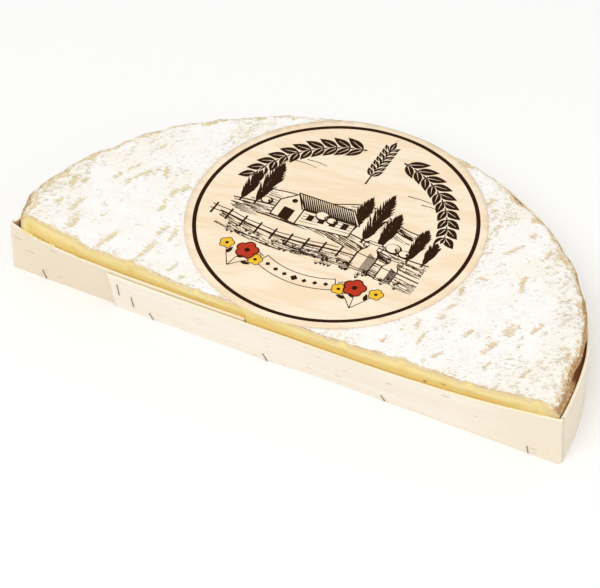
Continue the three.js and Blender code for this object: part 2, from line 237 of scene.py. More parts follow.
@dataclass(frozen=True)
class CheeseForm:
    """Sizes of the half wheel, and its outline at any height."""

    tray: TrayForm
    wheel_radius: float = 185.3
    wheel_centre_y: float = -16.5
    top: float = 45.5
    foot: float = 6.3
    shoulder: float = 8.0
    foot_round: float = 7.0
    clearance: float = 0.9
    overhang_right: float = 1.4
    overhang_left: float = 3.6
    overhang_fade_right: Pair = (0.1, 0.3)
    overhang_fade_left: Pair = (0.04, 0.2)
    cut_clearance: float = 0.15
    cut_edge_round: float = 1.2
    past_lap_step: float = 1.4
    left_end_draw: float = 14.0
    left_end_reach: float = 6.5
    swell_starts: float = 35.4
    swell_full: float = 38.5
    cut_swell_full: float = 43.0
    cut_swell: float = 9.3
    swell_power: float = 3.0
    swell_wave: float = 1.1
    swell_wave_length: float = 90.0
    swell_crest_x: float = -50.0
    least_swell: float = 0.1
    swell_held: Pair = (-120.0, -100.0)
    left_set_back: float = 2.2
    left_set_back_ends: Pair = (-122.0, -140.0)
    rim_waves: tuple[Triple, ...] = ((7.0, 0.45, 0.6), (13.0, 0.3, 2.1))
    end_passes: int = 8
    rim_shifts: tuple[Pair, ...] = (
        (0.00, 0.9), (0.07, 1.3), (0.14, 0.7), (0.21, -0.8), (0.27, -1.0), (0.32, 0.0), (0.37, 0.2),
        (0.44, 0.7), (0.53, 1.7), (0.56, 2.6), (0.60, 1.9), (0.65, 2.1), (0.69, 3.1), (0.74, 2.7),
        (0.76, 1.8), (0.79, 0.9), (0.81, 1.4), (0.86, 1.2), (0.89, 0.8), (0.92, 1.2), (0.97, 0.7),
        (1.01, 0.0), (1.04, -0.8), (1.07, -1.2), (1.10, -0.7), (1.14, 1.6), (1.18, 1.5), (1.21, 1.9),
        (1.23, 1.2), (1.26, 1.9), (1.29, 1.4), (1.31, -0.4), (1.34, 1.4), (1.37, 0.5), (1.50, 0.8),
        (2.00, 0.0), (2.21, -0.9), (2.25, 0.9), (2.27, -0.3), (2.30, -0.5), (2.35, 0.3), (2.41, 0.9),
        (2.45, 0.1), (2.48, 1.5), (2.53, 1.1), (2.57, 1.0), (2.60, 0.2), (2.64, -0.2), (2.68, 0.4),
        (2.71, 0.0), (2.76, -0.5), (2.80, -0.4), (2.83, -1.4), (2.87, -0.6), (2.91, 0.0), (2.94, -0.2),
        (2.955, -1.0), (2.985, 1.0), (3.00, 0.6), (3.03, -0.3), (3.14, 0.0),
    )
    shift_fade: Pair = (34.5, 37.5)
    recess: Triple = (0.275, 0.055, 2.2)
    right_draw: Pair = (0.20, 0.13)
    right_draw_depth: float = 1.5
    recess_below: Pair = (38.2, 36.0)
    draw_above: Pair = (35.4, 38.4)
    touching: Pair = (0.75, 0.5)
    touch_below: Pair = (36.0, 34.4)
    touch_gap: float = 0.45

    def _shift(self, angle: Array, z: Array) -> Array:
        """How far lumps and hollows of the rind move the rim outward."""
        angles, shifts = np.array(self.rim_shifts).T
        shift = np.interp(angle, angles, shifts)
        shown = ramp(*self.shift_fade, z)
        middle, width, depth = self.recess
        hollow = depth * np.exp(-((angle - middle) / width) ** 2) * ramp(*self.recess_below, z)
        drawn = ramp(sum(self.right_draw), self.right_draw[0], angle)
        hollow = hollow + self.right_draw_depth * drawn * ramp(*self.draw_above, z)
        return np.maximum(shift, 0.0) * shown + np.minimum(shift, 0.0) - hollow

    def radius(self, angle: Array, z: Array) -> Array:
        """Radius of the rim from the tray's centre, with its edges still square."""
        offset = self.tray.centre_y - self.wheel_centre_y
        wheel = np.sqrt(self.wheel_radius ** 2 - (offset * np.cos(angle)) ** 2) - offset * np.sin(angle)
        fade = np.minimum(ramp(*self.overhang_fade_right, angle),
                          ramp(*self.overhang_fade_left, math.pi - angle))
        overhang = blend(self.overhang_right, self.overhang_left, angle / math.pi) * fade
        overhang = overhang * ramp(self.swell_starts, self.swell_full, z)
        held = self.tray.radius - self.tray.thickness - self.clearance + overhang
        waves = sum(height * (np.sin(turns * angle + start) - 1) for turns, height, start in self.rim_waves)
        draw = self.left_end_draw * np.exp(-self.tray.radius * (math.pi - angle) / self.left_end_reach)
        radius = np.minimum(wheel, held) + waves - draw + self._shift(angle, z)
        bowed = np.maximum(0.0, self.tray.bowed(angle)) * z / self.tray.height
        beside_wall = self.tray.radius - self.tray.thickness - self.touch_gap + bowed
        touching = ramp(*self.touch_below, z) * ramp(*self.touching, angle)
        return blend(radius, np.maximum(radius, beside_wall), touching)

    def inset(self, z: Array) -> Array:
        """How far the rounded foot and shoulder draw the rim in at a height."""
        below = np.maximum(0.0, self.foot + self.foot_round - z)
        above = np.maximum(0.0, z - (self.top - self.shoulder))
        foot = self.foot_round - np.sqrt(np.maximum(0.0, self.foot_round ** 2 - below ** 2))
        shoulder = self.shoulder - np.sqrt(np.maximum(0.0, self.shoulder ** 2 - above ** 2))
        return foot + shoulder

    def cut_y(self, x: Array, z: Array) -> Array:
        """Place of the cut face: along the leaning wall, then swelling over its top edge."""
        held = np.minimum(z, self.tray.height)
        beside = self.tray.thickness + self.cut_clearance - np.tan(self.tray.lean(x)) * held
        past_lap = ramp(self.tray.lap_right, self.tray.lap_right + self.past_lap_step, x)
        beside = beside - self.tray.lap_forward(x) * past_lap
        wave = self.swell_wave * np.cos(2 * math.pi * (x - self.swell_crest_x) / self.swell_wave_length)
        set_back = self.left_set_back * ramp(*self.left_set_back_ends, x)
        swollen = set_back - (self.cut_swell + wave) * self.tray.bow_share(x, self.swell_power)
        swollen = blend(swollen, np.minimum(swollen, beside + self.least_swell),
                                ramp(*self.swell_held, x))
        share = ramp(self.swell_starts, self.cut_swell_full, z)
        edge = self.cut_edge_round * ramp(self.top - self.cut_edge_round, self.top, z)
        return blend(beside, swollen, share) + edge

    def rim_point(self, angle: Array, z: Array) -> tuple[Array, Array]:
        """Plan place of the rim at an angle and a height."""
        radius = self.radius(angle, z) - self.inset(z)
        return radius * np.cos(angle), radius * np.sin(angle) + self.tray.centre_y

    def end_angle(self, left: bool, z: float) -> float:
        """Angle at which the rim meets the cut face.

        Args:
            left: Whether the left end is meant.
            z: Height in millimetres.

        Returns:
            The angle in radians.
        """
        angle = math.pi if left else 0.0
        for _ in range(self.end_passes):
            x, _ = self.rim_point(angle, z)
            radius = float(self.radius(angle, z) - self.inset(z))
            rise = math.asin(float(self.cut_y(x, z) - self.tray.centre_y) / radius)
            angle = math.pi - rise if left else rise
        return angle


@dataclass(frozen=True)
class LabelForm:
    """Place and sizes of the round paper label."""

    radius: float = 89.5
    centre: Pair = (-3.0, 78.3)
    underside: float = 45.72
    thickness: float = 0.26
    droop: float = 0.025
    droop_starts_y: float = 160.8

    def distance(self, x: Array, y: Array) -> Array:
        """Distance of a place from the label's centre."""
        return np.hypot(x - self.centre[0], y - self.centre[1])


# Meshes


def vertex_normals(points: Points, faces: Faces) -> Points:
    """Directions that point out of a closed mesh at its vertices.

    Args:
        points: Rows of x, y, z.
        faces: Rows of three vertex numbers.

    Returns:
        One unit row for each vertex.
    """
    corners = [points[faces[:, corner]] for corner in range(3)]
    facing = np.cross(corners[1] - corners[0], corners[2] - corners[0])
    total = np.zeros_like(points)
    for corner in range(3):
        np.add.at(total, faces[:, corner], facing)
    return total / np.maximum(np.linalg.norm(total, axis=1, keepdims=True), 1e-12)


def link_object(name: str, data: bpy.types.ID) -> Piece:
    """Makes an object of a mesh, a lamp or a camera in the scene."""
    made = bpy.data.objects.new(name, data)
    bpy.context.scene.collection.objects.link(made)
    return made


def make_piece(name: str, points: Points, faces: Faces | list, layout: Layout | None) -> Piece:
    """Makes a smooth-shaded mesh object whose place is in its mesh.

    Args:
        name: The piece's name.
        points: Rows of x, y, z.
        faces: Rows of vertex numbers.
        layout: Moves the points to the frame, or None where they are there already.

    Returns:
        The new object.
    """
    mesh = bpy.data.meshes.new(name)
    placed = points if layout is None else layout.place(points)
    mesh.from_pydata(np.asarray(placed, float).tolist(), [], np.asarray(faces).tolist())
    mesh.validate()
    mesh.shade_smooth()
    return link_object(name, mesh)


def paint_points(piece: Piece, fields: dict[str, Array]) -> None:
    """Stores named fields of one number or one vector for each vertex."""
    for name, values in fields.items():
        kind, key = ("FLOAT", "value") if values.ndim == 1 else ("FLOAT_VECTOR", "vector")
        store = piece.data.attributes.new(name, kind, "POINT")
        store.data.foreach_set(key, values.astype(np.float32).ravel())


def grid_faces(rows: Array) -> Faces:
    """Triangles between neighbouring rows of vertex numbers.

    Args:
        rows: Vertex numbers, row below row, facing the side from which they run anticlockwise
            when the first row is the lower one.

    Returns:
        Rows of three vertex numbers.
    """
    low, high = rows[:-1], rows[1:]
    near, far = low[:, :-1].ravel(), low[:, 1:].ravel()
    above, beyond = high[:, :-1].ravel(), high[:, 1:].ravel()
    return join([np.stack([near, far, beyond], 1), np.stack([near, beyond, above], 1)])


def lump(route: Points, radii: Array, flat: float, sides: int = 10) -> tuple[Points, Faces]:
    """Closed lump whose middle follows a route.

    Args:
        route: Rows of x, y, z.
        radii: Radius at each of them.
        flat: Height of the section as a share of its width.
        sides: How many points a section has.

    Returns:
        Points and faces.
    """
    heading = np.gradient(route, axis=0)
    heading /= np.linalg.norm(heading, axis=1, keepdims=True)
    across = np.cross(heading, (0.0, 0.0, 1.0))
    across /= np.linalg.norm(across, axis=1, keepdims=True)
    upward = np.cross(across, heading)
    turn = np.linspace(0.0, 2 * math.pi, sides, endpoint=False)
    cosine, sine = np.cos(turn)[None, :, None], np.sin(turn)[None, :, None]
    ring = cosine * across[:, None] + flat * sine * upward[:, None]
    points = (route[:, None] + ring * radii[:, None, None]).reshape(-1, 3)
    numbers = np.arange(len(points)).reshape(len(route), sides)
    closed = join([numbers, numbers[:, :1]], 1)
    tips = np.array([route[0] - heading[0] * radii[0] * 0.5, route[-1] + heading[-1] * radii[-1] * 0.5])
    first, last = len(points), len(points) + 1
    near = np.stack([np.full(sides, first), closed[0, 1:], closed[0, :-1]], 1)
    far = np.stack([np.full(sides, last), closed[-1, :-1], closed[-1, 1:]], 1)
    faces = join([grid_faces(closed), near, far])
    return join([points, tips]), faces


def finish_piece(piece: Piece, slot: str, *nodes: str) -> Piece:
    """Ties a finished piece to its body and hides the nodes that it stands for."""
    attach(piece, BODY)
    if nodes:
        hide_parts(*nodes)
    LOG.info("%s: %d faces", piece.name, len(piece.data.polygons))
    return piece


def baked(piece: Piece, name: str) -> Piece:
    """Turns a piece with live modifiers into a plain mesh piece and removes the first one."""
    bpy.context.view_layer.update()
    graph = bpy.context.evaluated_depsgraph_get()
    mesh = bpy.data.meshes.new_from_object(piece.evaluated_get(graph))
    mesh.name = name
    bpy.data.objects.remove(piece)
    return link_object(name, mesh)


# Node trees


@dataclass(frozen=True)
class Noise:
    """A soft noise: the size of its features in millimetres, its detail, its roughness and its turn."""

    size: float | Triple
    detail: float = 2.0
    roughness: float = 0.5
    turn: float = 0.0


class Value:
    """A number in a node tree that Python arithmetic can be done with."""

    def __init__(self, graph: Graph, socket: Socket) -> None:
        """Wraps an output socket."""
        self.graph = graph
        self.socket = socket

    def _with(self, operation: str, first: Value | float, second: Value | float) -> Value:
        """Adds a Math node for two operands."""
        made = self.graph.node("ShaderNodeMath", {"operation": operation}, {0: first, 1: second})
        return Value(self.graph, made.outputs[0])

    def __add__(self, other: Value | float) -> Value:
        """Sum."""
        return self._with("ADD", self, other)

    __radd__ = __add__

    def __sub__(self, other: Value | float) -> Value:
        """Difference."""
        return self._with("SUBTRACT", self, other)

    def __rsub__(self, other: Value | float) -> Value:
        """Difference from a number."""
        return self._with("SUBTRACT", other, self)

    def __mul__(self, other: Value | float) -> Value:
        """Product."""
        return self._with("MULTIPLY", self, other)

    __rmul__ = __mul__

    def most(self, other: Value | float) -> Value:
        """The larger of two."""
        return self._with("MAXIMUM", self, other)

    def sine(self) -> Value:
        """Sine of an angle in radians."""
        return self._with("SINE", self, 0.0)

    def swing(self, width: Value | float) -> Value:
        """Noise from 0 to 1 made to swing about 0 over a width."""
        return (self - 0.5) * width

    def between(self, start: float, end: float, full: float = 1.0) -> Value:
        """Soft share from 0 at start to the full one at end."""
        settings = {"interpolation_type": "SMOOTHSTEP"}
        made = self.graph.node("ShaderNodeMapRange", settings, {0: self, 1: start, 2: end, 3: 0.0, 4: full})
        return Value(self.graph, made.outputs[0])


class Graph:
    """A node tree with one method that makes any node, and short ones for the common kinds."""

    def __init__(self, tree: bpy.types.NodeTree) -> None:
        """Wraps a tree."""
        self.tree = tree
        self.place = None

    def node(self, kind: str, settings: dict | None = None, inputs: dict | None = None) -> Node:
        """Makes a node.

        Args:
            kind: The node's type.
            settings: Its properties, set before its sockets.
            inputs: Values or links by the socket's name or number.

        Returns:
            The node.
        """
        made = self.tree.nodes.new(kind)
        for name, value in (settings or {}).items():
            setattr(made, name, value)
        for name, value in (inputs or {}).items():
            self.plug(made.inputs[name], value)
        return made

    def plug(self, socket: Socket, value: object) -> None:
        """Gives an input socket a value or a link."""
        if isinstance(value, Value):
            self.tree.links.new(value.socket, socket)
        elif isinstance(value, Socket):
            self.tree.links.new(value, socket)
        else:
            socket.default_value = value

    def read_here(self) -> None:
        """Makes object coordinates in millimetres the place that the noises read."""
        inputs = {0: self.node("ShaderNodeTexCoord").outputs["Object"], "Scale": 1 / MM}
        self.place = self.node("ShaderNodeVectorMath", {"operation": "SCALE"}, inputs).outputs[0]

    def stored(self, name: str) -> Value:
        """A number stored on the vertices."""
        return Value(self, self.node("ShaderNodeAttribute", {"attribute_name": name}).outputs["Fac"])

    def stored_vector(self, name: str) -> Socket:
        """A vector stored on the vertices."""
        return self.node("ShaderNodeAttribute", {"attribute_name": name}).outputs["Vector"]

    def part(self, vector: Socket, axis: int) -> Value:
        """One of a vector's three numbers."""
        return Value(self, self.node("ShaderNodeSeparateXYZ", None, {0: vector}).outputs[axis])

    def stretched(self, size: Triple, turn: float = 0.0) -> Socket:
        """The place turned about z by degrees and then divided by the sizes of a feature."""
        inputs = {"Vector": self.place, "Rotation": (0.0, 0.0, math.radians(turn)), "Scale": size}
        return self.node("ShaderNodeMapping", {"vector_type": "TEXTURE"}, inputs).outputs[0]

    def noise(self, noise: Noise) -> Value:
        """Noise from 0 to 1."""
        inputs = {"Vector": self.place, "Scale": 1.0, "Detail": noise.detail, "Roughness": noise.roughness}
        if isinstance(noise.size, tuple):
            inputs["Vector"] = self.stretched(noise.size, noise.turn)
        else:
            inputs["Scale"] = 1.0 / noise.size
        return Value(self, self.node("ShaderNodeTexNoise", None, inputs).outputs[0])

    def mix(self, share: Value | float, first: Colour | Socket, second: Colour | Socket) -> Socket:
        """A colour a share of the way from the first to the second."""
        return self.node("ShaderNodeMix", {"data_type": "RGBA"}, {0: share, 6: first, 7: second}).outputs[2]

    def coats(self, colour: Colour | Socket, *coats: tuple) -> Socket:
        """A colour with others laid over it in order, each as its share and its colour."""
        for share, coat in coats:
            colour = self.mix(share, colour, coat)
        return colour

    def relief(self, height: Value, depth: float, strength: float = 1.0) -> Socket:
        """A normal from a height from 0 to 1, whose full depth is in millimetres."""
        inputs = {"Strength": strength, "Distance": depth * MM, "Height": height}
        return self.node("ShaderNodeBump", None, inputs).outputs[0]

    def dress(self, shader: Node, colour: Socket, roughness: Value | None = None,
              normal: Socket | None = None) -> None:
        """Plugs what changes over a surface into its shader."""
        for name, given in (("Base Color", colour), ("Roughness", roughness), ("Normal", normal)):
            if given is not None:
                self.plug(shader.inputs[name], given)


def surface(name: str, constants: dict) -> tuple[Material, Graph, Node]:
    """Makes a material with a Principled surface.

    Args:
        name: The material's name.
        constants: Values that are the same all over, by socket.

    Returns:
        The material, its graph and its surface node.
    """
    material = bpy.data.materials.new(name)
    material.use_nodes = True
    graph = Graph(material.node_tree)
    graph.read_here()
    shader = material.node_tree.nodes["Principled BSDF"]
    for socket, value in constants.items():
        shader.inputs[socket].default_value = value
    return material, graph, shader


# Finishes


@dataclass(frozen=True)
class CheeseFinish:
    """White bloom worn to tan on the rind, and soft yellow paste on the cut."""

    bloom: Colour = tone("#fefbf6")
    # painted shade for the bloom's grey clouds and the hollows of its relief
    bloom_shade: Colour = tone("#f5f1ea")
    bloom_warm: Colour = tone("#fbf2e4")
    ochre: Colour = tone("#e4d4a8")
    tan: Colour = tone("#e2c89e")
    tick: Colour = tone("#c4b48f")
    rim_ochre: Colour = tone("#dcc592")
    rim_tan: Colour = tone("#ddc18a")
    # the rind's browner far side, darkened further as painted shade where the rim turns away from the light
    rim_grey_and_shade: Colour = tone("#b4905e")
    rim_brown_and_shade: Colour = tone("#b08142")
    # painted shade: dark brown on the rim's side down in the gap between cheese and wall
    gap_shade_brown: Colour = tone("#7c4220")
    fringe: Colour = tone("#dfc48e")
    paste: Colour = tone("#efdc99")
    paste_deep: Colour = tone("#dfbe68")
    paste_cream: Colour = tone("#dfc693")
    # painted shade: deeper golden paste next to the wall's top edge
    paste_shade_by_wall: Colour = tone("#e2b85e")
    # painted shade inside the small pits of the cut
    pit_shade_brown: Colour = tone("#966e14")
    crumbs: Noise = Noise(1.3, 3.0, 0.6)
    fuzz: Noise = Noise(0.45, 2.0, 0.6)
    hues: Noise = Noise(7.0)
    clouds: Noise = Noise(9.0, 3.0, 0.6)
    warmth: Noise = Noise(24.0)
    rungs: Noise = Noise((2.7, 1.15, 3.0), 2.0, 0.55, -14.0)
    rung_spacing: float = 2.8
    rung_skew: float = 0.3
    rung_sway: float = 7.0
    sway: Noise = Noise(5.0)
    dashes: Noise = Noise((6.5, 2.1, 10.0), 2.0, 0.5, 78.0)
    row_turn: float = 78.0
    blots: Noise = Noise(3.2, 2.0, 0.6)
    faintness: Noise = Noise(4.0)
    ticks: Noise = Noise((3.6, 1.8, 3.0), 1.5, 0.5, 38.0)
    fine_ticks: Noise = Noise((1.6, 1.0, 1.0), 0.0, 0.5, -14.0)
    clusters: Noise = Noise(13.0)
    rim_blots: Noise = Noise(2.4, 2.0, 0.6)
    tufts: Noise = Noise(1.7, 2.0, 0.6)
    comb: Noise = Noise((0.8, 5.0, 4.5), 1.0)
    comb_patches: Noise = Noise(13.0, 1.0)
    rags: Noise = Noise(3.4)
    hairs: Noise = Noise((0.9, 4.0, 4.0), 1.0)
    fringe_patches: Noise = Noise(9.0, 1.0)
    drags: Noise = Noise((26.0, 8.0, 1.5), 3.0, 0.6)
    patches: Noise = Noise((17.0, 8.0, 5.0))
    right_from: Pair = (-60.0, 60.0)
    relief_depth: float = 0.9
    rind_roughness: float = 0.85
    paste_gloss: float = 0.37

    def material(self) -> Material:
        """Builds the material."""
        material, graph, shader = surface("cheese_rind_and_paste", {
            "Subsurface Weight": 0.2, "Subsurface Scale": 0.003, "Subsurface Radius": (1.0, 0.8, 0.45),
            "Specular IOR Level": 0.3})
        rough = graph.noise(self.crumbs)
        rungs = graph.noise(self.rungs)
        bare = self._bare(graph, rough, rungs)
        ticks = self._ticks(graph)
        side = graph.part(graph.place, 0).between(*self.right_from)
        hue = graph.noise(self.hues).swing(1.6)
        worn = graph.mix((side * 0.7 + hue).between(0.1, 0.7), self.ochre, self.tan)
        rind = graph.coats(self._bloom(graph, rough), (bare, worn), (ticks, self.tick))
        rind = self._rim(graph, rind, rough, rungs, side)
        fringe = self._fringe(graph, rough) * (0.42 + 0.3 * side)
        paste = self._paste_share(graph, rough)
        colour = graph.coats(rind, (fringe, self.fringe), (paste, self._paste(graph, rough)))
        fuzz = graph.noise(self.fuzz)
        height = 0.5 * rough + 0.2 * fuzz + 0.3 * rungs - 0.45 * bare - 0.3 * ticks
        relief = graph.relief(height * (1.0 - 0.85 * paste), self.relief_depth, 0.8)
        graph.dress(shader, colour, self.rind_roughness - self.paste_gloss * paste, relief)
        return material

    def _bare(self, graph: Graph, rough: Value, rungs: Value) -> Value:
        """Share of worn rind on top: ladders of short rungs that close up in the marks' middles."""
        across = graph.stretched((1.0, 1.0, 1.0), self.row_turn)
        sway = graph.noise(self.sway).swing(self.rung_sway)
        phase = graph.part(across, 0) + graph.part(across, 1) * self.rung_skew + sway
        ladder = (phase * (2 * math.pi / self.rung_spacing)).sine()
        dashes = graph.noise(self.dashes)
        broken = ladder * 0.16 + rungs.swing(1.1) + rough.swing(0.8)
        blots = graph.noise(self.blots)
        marks = graph.stored("worn") * 0.80 + dashes.swing(0.9) + blots.swing(0.9) + broken * 1.1
        rows = graph.stored("columns") * 0.44 + dashes.swing(1.6) + broken
        strength = 0.35 + graph.noise(self.faintness).between(0.36, 0.60, 0.65)
        marks = marks.between(0.34, 0.70) * (0.5 + 0.5 * strength)
        return marks.most(rows.between(0.40, 0.68) * strength)

    def _ticks(self, graph: Graph) -> Value:
        """Share of the small dull ticks in the busy stretches."""
        spots = graph.noise(self.ticks)
        fine = graph.noise(self.fine_ticks)
        cluster = graph.noise(self.clusters).between(0.40, 0.62, 0.10)
        crowd = graph.stored("busy") * 0.11 + cluster - 0.105
        return (spots + crowd).between(0.66, 0.77, 0.5).most((fine + crowd).between(0.78, 0.86, 0.4))

    def _bloom(self, graph: Graph, rough: Value) -> Socket:
        """Colour of the bloom, with painted shade in soft grey clouds and in the hollows of its relief."""
        cloud = graph.noise(self.clouds)
        warm = graph.noise(self.warmth) + graph.stored("busy") * 0.12
        return graph.coats(
            # painted shade in soft grey clouds
            self.bloom, (cloud.between(0.42, 0.72, 0.6), self.bloom_shade),
            (warm.between(0.50, 0.72, 0.6), self.bloom_warm),
            # painted shade in the relief's hollows
            (rough.between(0.52, 0.30, 0.25), self.bloom_shade))

    def _rim(self, graph: Graph, rind: Socket, rough: Value, rungs: Value, side: Value) -> Socket:
        """Colour with the wear of the rim laid over, then its browner far side with painted shade where it
        turns away, and painted shade in the gap by the wall.
        """
        blots = graph.noise(self.rim_blots)
        rim = graph.stored("rim") + rough.swing(1.3) + rungs.swing(1.0) + blots.swing(1.8)
        # dark: the rim's browner far side with painted shade
        dark = graph.stored("dark") + rough.swing(0.9) + blots.swing(1.2)
        tufts = graph.noise(self.tufts).between(0.56, 0.64, 0.55) * graph.stored("rim")
        # gap: painted shade in the gap between cheese and wall
        gap = graph.stored("gap") + rough.swing(0.5)
        return graph.coats(
            rind,
            (rim.between(0.45, 0.95, 0.85), graph.mix(side, self.rim_ochre, self.rim_tan)),
            (dark.between(0.25, 0.95, 0.9), graph.mix(side, self.rim_grey_and_shade, self.rim_brown_and_shade)),
            (tufts, self.bloom_warm), (gap.between(0.3, 0.8), self.gap_shade_brown))

    def _paste_share(self, graph: Graph, rough: Value) -> Value:
        """Share of bare paste, from 0 on the rind to 1 on the cut, with a ragged edge between."""
        comb = graph.noise(self.comb)
        combed = graph.noise(self.comb_patches).between(0.46, 0.66)
        ragged = graph.noise(self.rags).swing(3.2) + rough.swing(1.8)
        ragged = ragged + comb.swing(1.2 + 4.0 * combed)
        return (graph.stored("below_rind") + ragged).between(-0.5, 0.9)

    def _fringe(self, graph: Graph, rough: Value) -> Value:
        """Share of the tan fringe along the rind's edge, where its hairs thin out."""
        hairs = graph.noise(self.hairs)
        patches = graph.noise(self.fringe_patches)
        spread = hairs.swing(4.0) + rough.swing(3.0) + patches.swing(7.0)
        return (graph.stored("below_rind") + spread).between(-1.3, -0.1)

    def _paste(self, graph: Graph, rough: Value) -> Socket:
        """Colour of the paste: tan beside the rind, yellow below it, deepest next to the wall as painted
        shade, with painted shade in its pits.
        """
        depth = graph.stored("below_rind")
        spread = graph.noise(self.drags).swing(3.0) + rough.swing(1.2)
        patch = graph.noise(self.patches)
        near = depth + rough.swing(2.8) + spread * 0.5
        return graph.coats(
            self.paste, ((depth + spread).between(3.0, 9.0, 0.8), self.paste_deep),
            (patch.between(0.5, 0.72, 0.45), self.paste_deep),
            # painted shade next to the wall
            ((depth + spread * 0.4).between(8.0, 11.5, 0.5), self.paste_shade_by_wall),
            (near.between(3.1, 0.5, 0.9), self.paste_cream),
            # painted shade in the pits
            (graph.stored("pit").between(0.3, 0.75, 0.9), self.pit_shade_brown))


@dataclass(frozen=True)
class PaperFinish:
    """Matt cream paper with a faint printed grain."""

    cream: Colour = tone("#f5debd")
    pink: Colour = tone("#f0d1ae")
    pale: Colour = tone("#f9e8ce")
    bend: float = 14.0
    bends: Noise = Noise((60.0, 22.0, 20.0), 2.0, 0.5, 12.0)
    lines: Noise = Noise((34.0, 1.1, 30.0), 3.0, 0.6, 12.0)
    bands: Noise = Noise((44.0, 9.0, 30.0), 3.0, 0.6, 12.0)
    figure: Noise = Noise((42.0, 30.0, 30.0), 1.0)
    fibres: Noise = Noise(0.45, 3.0, 0.7)
    fibre_depth: float = 0.06

    def material(self) -> Material:
        """Builds the material."""
        material, graph, shader = surface("label_paper", {"Roughness": 0.7, "Specular IOR Level": 0.12})
        bent = graph.noise(self.bends) * self.bend
        shift = graph.node("ShaderNodeCombineXYZ", None, {1: bent}).outputs[0]
        figure = graph.noise(self.figure).between(0.44, 0.60)
        fibres = graph.noise(self.fibres)
        inputs = {0: graph.place, 1: shift}
        graph.place = graph.node("ShaderNodeVectorMath", {"operation": "ADD"}, inputs).outputs[0]
        lines = graph.noise(self.lines)
        bands = graph.noise(self.bands)
        base = graph.coats(
            self.pale, (bands.between(0.42, 0.60), self.cream),
            (lines.between(0.50, 0.70) * (0.25 + 0.4 * figure), self.pink))
        graph.dress(shader, base, None, graph.relief(fibres, self.fibre_depth, 0.5))
        return material


@dataclass(frozen=True)
class InkFinish:
    """A printed ink, a little uneven over the paper's fibres."""

    name: str
    colour: Colour
    thin: Colour
    fibres: Noise = Noise(0.6, 3.0, 0.7)

    def material(self) -> Material:
        """Builds the material."""
        material, graph, shader = surface(self.name, {"Specular IOR Level": 0.04})
        cover = graph.noise(self.fibres)
        colour = graph.mix(cover.between(0.35, 0.75, 0.5), self.colour, self.thin)
        graph.dress(shader, colour, 0.5 + 0.15 * cover)
        return material


@dataclass(frozen=True)
class VeneerFinish:
    """Pale bare poplar veneer with its grain along the strip."""

    pale: Colour = tone("#f8f0e4")
    cream: Colour = tone("#f4e9d8")
    streak: Colour = tone("#e2cfb0")
    # fresh wood in the torn folds, and the painted highlight along the top edge
    fresh_wood_and_highlight: Colour = tone("#fff6dc")
    stain: Colour = tone("#a8692c")
    # grease stain on the inside, deepened as painted shade of the narrow gap by the cheese
    inside_stain_and_shade: Colour = tone("#deb57c")
    # darker wood on the inner run, and painted shade round the right fold and along the side
    darker_wood_and_side_shade: Colour = tone("#ebdcc5")
    lines: Noise = Noise((60.0, 0.9, 3.0), 4.0, 0.65)
    bands: Noise = Noise((140.0, 6.0, 6.0), 3.0, 0.55)
    pores: Noise = Noise((5.5, 0.42, 2.0), 1.0)
    knots: Noise = Noise((9.0, 1.6, 4.0), 0.0)
    tears: Noise = Noise((0.5, 14.0, 2.0))
    grain_depth: float = 0.22

    def material(self) -> Material:
        """Builds the material."""
        material, graph, shader = surface("poplar_veneer", {"Specular IOR Level": 0.25})
        graph.place = graph.stored_vector("strip")
        lines = graph.noise(self.lines)
        bands = graph.noise(self.bands)
        pores = graph.noise(self.pores)
        knots = graph.noise(self.knots)
        torn = graph.noise(self.tears)
        folded = graph.stored("folded")
        wood = graph.coats(
            self.pale, (bands.between(0.35, 0.65), self.cream),
            # darker wood on the inner run, and painted shade round the right side
            (graph.stored("dull") * 0.85, self.darker_wood_and_side_shade),
            (lines.between(0.5, 0.8, 0.4), self.streak),
            (pores.between(0.66, 0.78, 0.45), self.streak),
            (knots.between(0.76, 0.84, 0.5), self.stain),
            (folded * torn.between(0.5, 0.7, 0.6), self.fresh_wood_and_highlight),
            (folded * torn.between(0.5, 0.34, 0.5), self.streak),
            # painted highlight along the top edge
            (graph.stored("top_edge_highlight") * 0.85, self.fresh_wood_and_highlight),
            # stain on the inside with painted shade
            (graph.stored("inside") * 0.75, self.inside_stain_and_shade))
        relief = graph.relief(lines * 0.6 + pores * 0.4, self.grain_depth, 0.5)
        graph.dress(shader, wood, 0.66 + 0.2 * lines, relief)
        return material


@dataclass(frozen=True)
class BoardFinish:
    """Pale poplar board with its grain along the cut, a little stained where the cheese lies."""

    pale: Colour = tone("#efdfc4")
    streak: Colour = tone("#d9bf95")
    stain: Colour = tone("#a9793f")
    lines: Noise = Noise((110.0, 1.3, 1.3), 4.0, 0.65)
    bands: Noise = Noise((160.0, 12.0, 12.0))
    stained_from: Pair = (3.5, 6.0)
    grain_depth: float = 0.3

    def material(self) -> Material:
        """Builds the material."""
        material, graph, shader = surface("poplar_board", {"Specular IOR Level": 0.25})
        lines = graph.noise(self.lines)
        bands = graph.noise(self.bands)
        upper = graph.part(graph.place, 2).between(*self.stained_from, 0.7)
        wood = graph.coats(
            self.pale, (lines.between(0.42, 0.75, 0.7), self.streak),
            (bands.between(0.5, 0.75, 0.35), self.streak), (upper, self.stain))
        graph.dress(shader, wood, 0.7 + 0.2 * lines, graph.relief(lines, self.grain_depth, 0.6))
        return material


@dataclass(frozen=True)
class WireFinish:
    """Dull steel staple wire, darker where it has been handled."""

    bright: Colour = tone("#a39b8f")
    dull: Colour = tone("#6f675b")
    tarnish: Noise = Noise(0.9, 3.0, 0.6)

    def material(self) -> Material:
        """Builds the material."""
        material, graph, shader = surface("staple_wire", {"Metallic": 0.75})
        tarnish = graph.noise(self.tarnish)
        colour = graph.mix(tarnish.between(0.35, 0.65), self.bright, self.dull)
        graph.dress(shader, colour, 0.32 + 0.25 * tarnish)
        return material


# Stage


